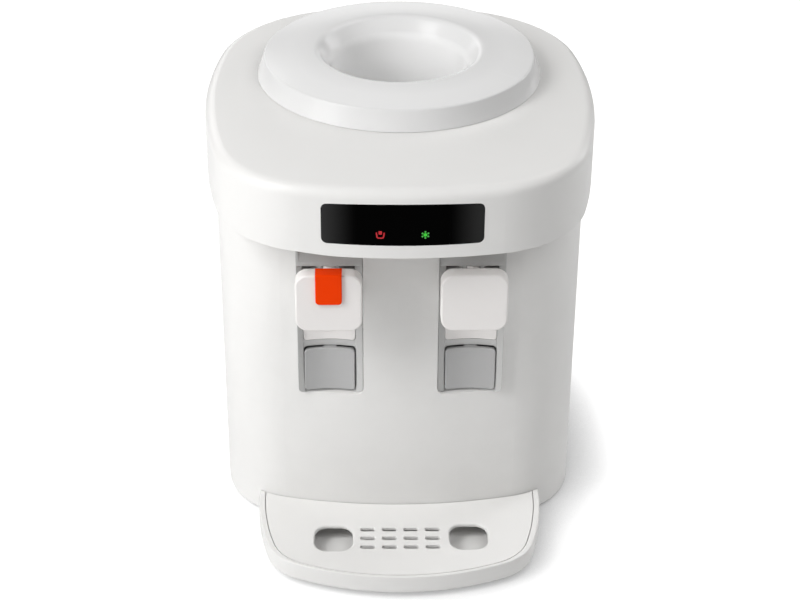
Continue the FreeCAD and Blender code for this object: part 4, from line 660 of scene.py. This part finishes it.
# Tap body: a shorter spout, and a plate that fills the frame's opening
tapBody = {
    "spoutFront": -112.0,   # the spout lies in front of this and below that
    "spoutTop": 206.0,
    "spoutUp": 2.6,
    "plateY": (-94.0, -86.0),
    "plateHalf": 19.2,
    "plateTop": 240.0,
    "plateSide": 15.5,      # what lies farther out than this is widened
    "plateFoot": 178.3,     # and what is lower than this goes down
    "room": 0.05,
}


def tapBodyShape(tap, x, y, z):
    if y < tapBody["spoutFront"] and z < tapBody["spoutTop"]:
        return x, y, z + tapBody["spoutUp"]
    near, far = tapBody["plateY"]
    if not (near < y < far and abs(x) < tapBody["plateHalf"] and z < tapBody["plateTop"]):
        return x, y, z
    newX = x
    if abs(x) > tapBody["plateSide"]:
        newX += math.copysign(taps["widen"] - tapBody["room"], x) + tap["windowShift"]
    return newX, y, z - (taps["thin"] if z < tapBody["plateFoot"] else 0.0)


# Cap and child lock: a little narrower and lower
cap = {"scale": 0.987, "drop": 0.75}
lock = {"scale": 0.975, "drop": 0.75, "shift": 0.3}


def capShape(tap, x, y, z):
    return x * cap["scale"] + tap["capShift"], y, z - cap["drop"]


def lockShape(tap, x, y, z):
    return x * lock["scale"] + lock["shift"], y, z - lock["drop"]


# White tab between the child lock's slots, with rounded edges
tab = {
    "half": 4.6,
    "low": 236.1,
    "high": 240.95,
    "sunk": 0.35,           # how far its front lies behind the frame's face
    "back": -88.6,
    "round": 0.3,
}


def makeTab(pieceName, tap):
    shape = bmesh.new()
    low = (tap["x"] - tab["half"], taps["face"] + tab["sunk"], tab["low"])
    high = (tap["x"] + tab["half"], tab["back"], tab["high"])
    for vertex in bmesh.ops.create_cube(shape, size=1.0)["verts"]:
        vertex.co = Vector([a + (b - a) * (c + 0.5) for a, b, c in zip(low, high, vertex.co)]) * mm
    bmesh.ops.bevel(shape, geom=shape.edges[:], offset=tab["round"] * mm, segments=2, affect="EDGES")
    addPiece(pieceName, shape, materials["tap_plastic"])


# White ledge under the frame, which follows the body's front
sill = {
    "half": 25.2,
    "low": 125.4,
    "high": 126.54,
    "sunk": 1.2,            # how far it lies behind the body's front
    "back": -84.0,
    "steps": 16,
}


def makeSill(pieceName, tap):
    shape = bmesh.new()
    columns = []
    for step in range(sill["steps"] + 1):
        x = tap["x"] + (2 * step / sill["steps"] - 1) * sill["half"]
        near = bodyFront(x * mm) / mm + sill["sunk"]
        corners = [(near, sill["low"]), (near, sill["high"]), (sill["back"], sill["high"]),
                   (sill["back"], sill["low"])]
        columns.append([shape.verts.new(Vector((x, y, z)) * mm) for y, z in corners])
    for first, second in zip(columns, columns[1:]):
        bridge(shape, first, second)
    shape.faces.new(columns[0])
    shape.faces.new(columns[-1][::-1])
    addPiece(pieceName, shape, materials["housing_plastic"], smooth=False)


for name in ("hot", "cold"):
    tap = taps[name]
    reshaped(name + "_tap_frame", name + "Frame", tap, frameShape, "housing")
    reshaped(name + "_paddle", name + "Paddle", tap, paddleShape, name + "_paddle")
    reshaped(name + "_tap_body", name + "TapBody", tap, tapBodyShape, "housing")
    reshaped(name + "_tap_cap", name + "Cap", tap, capShape, "housing")
    makeTab(name + "Tab", tap)
    makeSill(name + "Sill", tap)
reshaped("child_lock", "lockSlide", taps["hot"], lockShape, "child_lock")
print("taps reshaped")


# Bonnet: its skirt hangs lower, most at the right and not at the far left
bonnetTrim = {
    "x": 0.0,
    "skirtTop": bonnetLow.z / mm + 0.65,    # what is lower than this moves down
    "drop": 1.2,
    "leftFrom": 56.0,       # the drop fades out over this length, to the left of this place
    "leftFade": 14.0,
    "dropRight": 0.5,       # and this is added over that length, to the right of that place
    "rightFrom": 40.0,
    "rightFade": 60.0,
}


def bonnetShape(trim, x, y, z):
    if z > trim["skirtTop"]:
        return x, y, z
    right = min(max((x - trim["rightFrom"]) / trim["rightFade"], 0.0), 1.0)
    left = min(max((-x - trim["leftFrom"]) / trim["leftFade"], 0.0), 1.0)
    return x, y, z - trim["drop"] * (1 - left) - trim["dropRight"] * right


# Grille: larger slots, finger holes deeper from front to back, and a wider line round the plate
grilleTrim = {
    "x": 0.0,
    "rows": (-160.0, -120.0),   # the openings' span in y
    "rowMiddle": -139.9,
    "slotReach": 35.0,      # the slots lie within this distance from the middle
    "slotPitch": (17.05, 11.1),
    "slotScale": (1.1, 1.25),
    "holeReach": 73.0,      # and the finger holes within this one
    "holeScale": 1.12,
    "leftHoleShift": (1.1, 0.0),
    "rightHoleShift": (0.4, 1.5),
    "plateScale": 0.9968,
    "plateBack": -79.0,
}


def grilleShape(trim, x, y, z):
    front, back = trim["rows"]
    inRows = front < y < back
    if inRows and abs(x) < trim["slotReach"]:
        pitchX, pitchY = trim["slotPitch"]
        scaleX, scaleY = trim["slotScale"]
        middleX = (math.floor(x / pitchX) + 0.5) * pitchX
        middleY = round((y - trim["rowMiddle"]) / pitchY) * pitchY + trim["rowMiddle"]
        return middleX + (x - middleX) * scaleX, middleY + (y - middleY) * scaleY, z
    if inRows and abs(x) < trim["holeReach"]:
        shiftX, shiftY = trim["rightHoleShift"] if x > 0 else trim["leftHoleShift"]
        return x + shiftX, trim["rowMiddle"] + (y - trim["rowMiddle"]) * trim["holeScale"] + shiftY, z
    return x * trim["plateScale"], trim["plateBack"] + (y - trim["plateBack"]) * trim["plateScale"], z


reshaped("bonnet", "bonnetShell", bonnetTrim, bonnetShape, "housing", keepNormals=True)
reshaped("drip_grille", "grille", grilleTrim, grilleShape, "drip_grille", keepNormals=True)
print("bonnet and grille trimmed")


# Bottle collar: a turned profile, softer at the funnel's two edges than the construction
collar = {
    "steps": 144,
    "cornerSteps": 7,
    "outerSkirt": (108.0, 112.0),       # radii of the two skirts' feet, to read their heights
    "innerSkirt": (84.0, 90.0),
    # radius, height and rounding of each corner, from the foot over the top and down the throat;
    # a name in place of a height is the foot of that skirt, or of the throat
    "profile": [(111.3, "outer", 0.0), (106.0, 351.5, 1.8), (64.0, 356.0, 7.0), (54.0, 342.5, 13.0),
                (54.0, "throat", 0.6), (56.2, "throat", 0.6), (56.2, 341.5, 1.5), (64.8, 352.9, 1.5),
                (85.8, 351.2, 0.0), (85.8, "inner", 0.0), (88.0, "inner", 0.0), (88.0, 351.3, 0.0),
                (104.0, 349.3, 1.0), (109.1, "outer", 0.0)],
}


def roundedProfile(points):
    line = []
    for index, (r, z, radius) in enumerate(points):
        if not radius:
            line.append((r, z))
            continue
        here = Vector((r, z))
        before = (Vector(points[index - 1][:2]) - here).normalized()
        after = (Vector(points[(index + 1) % len(points)][:2]) - here).normalized()
        half = before.angle(after) / 2
        reach = radius / math.tan(half)
        middle = here + (before + after).normalized() * (radius / math.sin(half))
        first = here + before * reach - middle
        last = here + after * reach - middle
        sweep = first.angle_signed(last)
        for step in range(collar["cornerSteps"] + 1):
            turn = -sweep * step / collar["cornerSteps"]
            line.append((middle.x + first.x * math.cos(turn) - first.y * math.sin(turn),
                         middle.y + first.x * math.sin(turn) + first.y * math.cos(turn)))
    return line


def skirtFoot(span):
    heights = []
    for vertex in nodes["bottle_collar"].data.vertices:
        radius = math.hypot(vertex.co.x / mm, vertex.co.y / mm - collarAxis)
        if span[0] < radius < span[1]:
            heights.append(vertex.co.z / mm)
    return min(heights)


def makeCollar():
    feet = {
        "outer": skirtFoot(collar["outerSkirt"]),
        "inner": skirtFoot(collar["innerSkirt"]),
        "throat": collarLow.z / mm,
    }
    line = roundedProfile([(r, feet.get(z, z), radius) for r, z, radius in collar["profile"]])
    shape = bmesh.new()
    rings = []
    for step in range(collar["steps"]):
        turn = 2 * math.pi * step / collar["steps"]
        rings.append([shape.verts.new(Vector((r * math.cos(turn), collarAxis + r * math.sin(turn), z)) * mm)
                      for r, z in line])
    for index, ring in enumerate(rings):
        bridge(shape, ring, rings[(index + 1) % len(rings)])
    piece = addPiece("collarShell", shape, materials["collar_plastic"], "bottle_collar")
    piece.data.set_sharp_from_angle(angle=math.radians(35))
    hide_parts("bottle_collar")


makeCollar()
print("collar made")

lensWindow = makeWindow()
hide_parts("indicator_lens")
makeWindowRim()
print("indicator window made")


# The lit marks, in mm: the lamps' places from the middle, then each shape from its mark's middle
icons = {
    "lampX": 16.0,
    "lampZ": window["bottom"] + 8.8,
    "proud": 0.12,          # how far the print stands off the window, and how deep it is let in
    "sunk": 0.02,
    "red": (0.52, 0.003, 0.012),
    "green": (0.03, 0.62, 0.02),
    "paleGreen": (0.06, 0.46, 0.06),
    "glow": 0.8,
    "stroke": 1.0,          # of the cup's line
    "cupRim": (2.75, 1.5),
    "cupSide": (2.45, -0.7),
    "cupCorner": (1.15, -1.3),
    "cupRound": 1.2,
    "drop": dict(up=1.7, halfWidth=1.25, halfHeight=1.35, radius=0.5),
    "flakeMiddle": 1.35,
    "flakeArms": 6,
    "flakeReach": 2.4,
    "flakeArm": 0.68,
}


# Each outline is a closed line of (x, z) points in mm, counter-clockwise as seen from the front
def printMark(name, outlines, finish):
    shape = bmesh.new()
    for outline in outlines:
        front = ringOf(shape, outline, window["proud"] + icons["proud"])
        back = ringOf(shape, outline, window["proud"] - icons["sunk"])
        shape.faces.new(front)
        shape.faces.new(back[::-1])
        bridge(shape, front, back)
    addPiece(name, shape, finish, smooth=False)


def disc(x, z, radius, count=20):
    turns = [2 * math.pi * index / count for index in range(count)]
    return [(x + radius * math.cos(turn), z + radius * math.sin(turn)) for turn in turns]


def roundedRect(x, z, halfWidth, halfHeight, radius, count=5):
    points = []
    for index, (signX, signZ) in enumerate(((1, 1), (-1, 1), (-1, -1), (1, -1))):
        for step in range(count + 1):
            turn = math.pi / 2 * (index + step / count)
            points.append((x + signX * (halfWidth - radius) + radius * math.cos(turn),
                           z + signZ * (halfHeight - radius) + radius * math.sin(turn)))
    return points


# A line of even width along the points, with round ends
def strokeLine(points, width, count=6):
    half = width / 2
    left, right = [], []
    for index, (x, z) in enumerate(points):
        before = points[max(index - 1, 0)]
        after = points[min(index + 1, len(points) - 1)]
        dx, dz = after[0] - before[0], after[1] - before[1]
        length = math.hypot(dx, dz)
        nx, nz = -dz / length * half, dx / length * half
        left.append((x + nx, z + nz))
        right.append((x - nx, z - nz))

    def roundEnd(point, toward):
        start = math.atan2(toward[1] - point[1], toward[0] - point[0])
        return [(point[0] + half * math.cos(start - math.pi * step / count),
                 point[1] + half * math.sin(start - math.pi * step / count)) for step in range(1, count)]

    return left + roundEnd(points[-1], left[-1]) + right[::-1] + roundEnd(points[0], right[0])


def arcPoints(x, z, radius, start, stop, count=6):
    turns = [math.radians(start + (stop - start) * index / count) for index in range(count + 1)]
    return [(x + radius * math.cos(turn), z + radius * math.sin(turn)) for turn in turns]


# The cup's line: down its left side, round the bottom's two corners and up its right side
def cupLine(x, z):
    rimX, rimZ = icons["cupRim"]
    sideX, sideZ = icons["cupSide"]
    cornerX, cornerZ = icons["cupCorner"]
    left = arcPoints(x - cornerX, z + cornerZ, icons["cupRound"], 190, 270)
    right = arcPoints(x + cornerX, z + cornerZ, icons["cupRound"], 270, 350)
    return ([(x - rimX, z + rimZ), (x - sideX, z + sideZ)] + left + right +
            [(x + sideX, z + sideZ), (x + rimX, z + rimZ)])


def makeIcons():
    redLight = litMark("redMark", icons["red"], icons["glow"])
    greenLight = litMark("greenMark", icons["green"], icons["glow"])
    paleLight = litMark("paleGreenMark", icons["paleGreen"], icons["glow"])
    x, z = -icons["lampX"], icons["lampZ"]
    drop = icons["drop"]
    dropRect = roundedRect(x, z + drop["up"], drop["halfWidth"], drop["halfHeight"], drop["radius"])
    printMark("heatIcon", [strokeLine(cupLine(x, z), icons["stroke"]), dropRect], redLight)
    x = icons["lampX"]
    printMark("coolIconMiddle", [disc(x, z, icons["flakeMiddle"])], greenLight)
    arms = []
    for index in range(icons["flakeArms"]):
        turn = math.radians(90 + 360 / icons["flakeArms"] * index)
        arms.append(disc(x + icons["flakeReach"] * math.cos(turn), z + icons["flakeReach"] * math.sin(turn),
                         icons["flakeArm"], 14))
    printMark("coolIconArms", arms, paleLight)


makeIcons()
print("indicator marks made")


view = {
    "sensor": 36.0,         # mm
    "focal": 86.260626,
    "shift": 0.000625,      # of the sensor's width
    "pitch": 0.5396,        # radians, downwards
    "yaw": 0.0182,
    "roll": -0.007,
    "place": (-22.9749 * mm, -1338.8432 * mm, 956.9055 * mm),
}


def placeCamera():
    data = bpy.data.cameras.new("camera")
    data.sensor_width = view["sensor"]
    data.lens = view["focal"]
    data.shift_x = -view["shift"]
    data.shift_y = view["shift"]
    camera = bpy.data.objects.new("camera", data)
    bpy.context.scene.collection.objects.link(camera)
    pitch, yaw, roll = view["pitch"], view["yaw"], view["roll"]
    forward = Vector((math.sin(yaw) * math.cos(pitch), math.cos(yaw) * math.cos(pitch), -math.sin(pitch)))
    level = Vector((math.cos(yaw), -math.sin(yaw), 0.0))
    down = forward.cross(level)
    right = level * math.cos(roll) + down * math.sin(roll)
    below = down * math.cos(roll) - level * math.sin(roll)
    camera.matrix_world = Matrix((
        (right.x, -below.x, -forward.x, view["place"][0]),
        (right.y, -below.y, -forward.y, view["place"][1]),
        (right.z, -below.z, -forward.z, view["place"][2]),
        (0.0, 0.0, 0.0, 1.0)))
    bpy.context.scene.camera = camera


placeCamera()
bpy.context.scene.view_settings.view_transform = "Standard"


# Soft boxes round the object: heading in degrees from its front towards its right, height in degrees,
# size in m and power in W
studio = {
    "key": dict(heading=-58, height=41, size=(0.7, 0.9), power=19.4),
    "keyLow": dict(heading=-60, height=13, size=(0.8, 0.8), power=8.4),
    "keyHigh": dict(heading=-58, height=60, size=(0.7, 0.7), power=1.9),
    "highRight": dict(heading=45, height=52, size=(0.9, 0.9), power=6.6),
    "right": dict(heading=72, height=38, size=(0.8, 0.8), power=2.3),
    "front": dict(heading=15, height=35, size=(0.9, 0.9), power=2.8),
    "rearRight": dict(heading=125, height=18, size=(0.7, 0.8), power=7.2),
    "rearRightHigh": dict(heading=135, height=48, size=(0.8, 0.8), power=5.3),
    "rearLeft": dict(heading=-150, height=25, size=(0.9, 0.9), power=5.8),
    "rear": dict(heading=180, height=10, size=(1.2, 0.5), power=2.7),
}
studioReach = 1.8           # m from the place that every box faces
studioAim = Vector((0.0, 0.0, 0.2))


def softBox(name, heading, height, size, power):
    data = bpy.data.lights.new(name, "AREA")
    data.shape = "RECTANGLE"
    data.size, data.size_y = size
    data.energy = power
    light = bpy.data.objects.new(name, data)
    bpy.context.scene.collection.objects.link(light)
    turn, rise = math.radians(heading), math.radians(height)
    away = Vector((math.sin(turn) * math.cos(rise), -math.cos(turn) * math.cos(rise), math.sin(rise)))
    light.location = studioAim + away * studioReach
    light.rotation_euler = (-away).to_track_quat("-Z", "Y").to_euler()


for lightName, values in studio.items():
    softBox(lightName, **values)


backdrop = {
    "finish": dict(color=(0.90, 0.90, 0.90), roughness=0.7, rub=0.0, dust=0.0, variation=0.0, specular=0.2),
    "lift": 1.03,           # how bright the floor looks by itself
    "lit": 0.30,            # and how much of the light on it still shows
    "contact": 0.05,        # m, reach of the painted shadow beside what stands on it
    "lean": (-0.75, -0.15, 0.65),   # and the way from which that painted shadow is left open
    "glow": 0.01,           # light from all sides
    "reach": 6.0,           # m, half of the floor's side
}


# Pale matt floor; what the camera sees of it is lifted towards white, with a painted shadow beside what
# stands on it
def makeFloor():
    reach = backdrop["reach"]
    mesh = bpy.data.meshes.new("floor")
    mesh.from_pydata([(-reach, -reach, 0), (reach, -reach, 0), (reach, reach, 0), (-reach, reach, 0)],
                     [], [(0, 1, 2, 3)])
    floor = bpy.data.objects.new("floor", mesh)
    bpy.context.scene.collection.objects.link(floor)
    material = moulded("floorFinish", **backdrop["finish"])
    tree = material.node_tree
    lifted = put(tree, "ShaderNodeAddShader")
    faint = put(tree, "ShaderNodeMixShader")
    faint.inputs[0].default_value = backdrop["lit"]
    glowWithPaintedShadow = put(tree, "ShaderNodeEmission")
    glowWithPaintedShadow.inputs["Strength"].default_value = backdrop["lift"]
    chosen = put(tree, "ShaderNodeMixShader")
    # painted shadow: the floor's glow darkened where the ambient occlusion finds something near
    near = put(tree, "ShaderNodeAmbientOcclusion", samples=12)
    near.inputs["Distance"].default_value = backdrop["contact"]
    lean = put(tree, "ShaderNodeCombineXYZ")
    for socket, value in zip(lean.inputs, backdrop["lean"]):
        socket.default_value = value
    tree.links.new(lean.outputs[0], near.inputs["Normal"])
    tree.links.new(near.outputs["Color"], glowWithPaintedShadow.inputs["Color"])
    surface = tree.nodes["Principled BSDF"].outputs[0]
    tree.links.new(surface, faint.inputs[2])
    tree.links.new(faint.outputs[0], lifted.inputs[0])
    tree.links.new(glowWithPaintedShadow.outputs[0], lifted.inputs[1])
    tree.links.new(put(tree, "ShaderNodeLightPath").outputs["Is Camera Ray"], chosen.inputs[0])
    tree.links.new(surface, chosen.inputs[1])
    tree.links.new(lifted.outputs[0], chosen.inputs[2])
    tree.links.new(chosen.outputs[0], tree.nodes["Material Output"].inputs["Surface"])
    mesh.materials.append(material)


# White behind everything, and a weaker, even glow from all sides
def makeWorld():
    world = bpy.data.worlds.new("studio")
    world.use_nodes = True
    tree = world.node_tree
    glow = tree.nodes["Background"]
    glow.inputs["Color"].default_value = (1.0, 1.0, 1.0, 1.0)
    glow.inputs["Strength"].default_value = backdrop["glow"]
    white = put(tree, "ShaderNodeBackground")
    white.inputs["Color"].default_value = (1.0, 1.0, 1.0, 1.0)
    chosen = put(tree, "ShaderNodeMixShader")
    tree.links.new(put(tree, "ShaderNodeLightPath").outputs["Is Camera Ray"], chosen.inputs[0])
    tree.links.new(glow.outputs[0], chosen.inputs[1])
    tree.links.new(white.outputs[0], chosen.inputs[2])
    tree.links.new(chosen.outputs[0], tree.nodes["World Output"].inputs["Surface"])
    bpy.context.scene.world = world


makeFloor()
makeWorld()
print("camera, floor and lights placed")
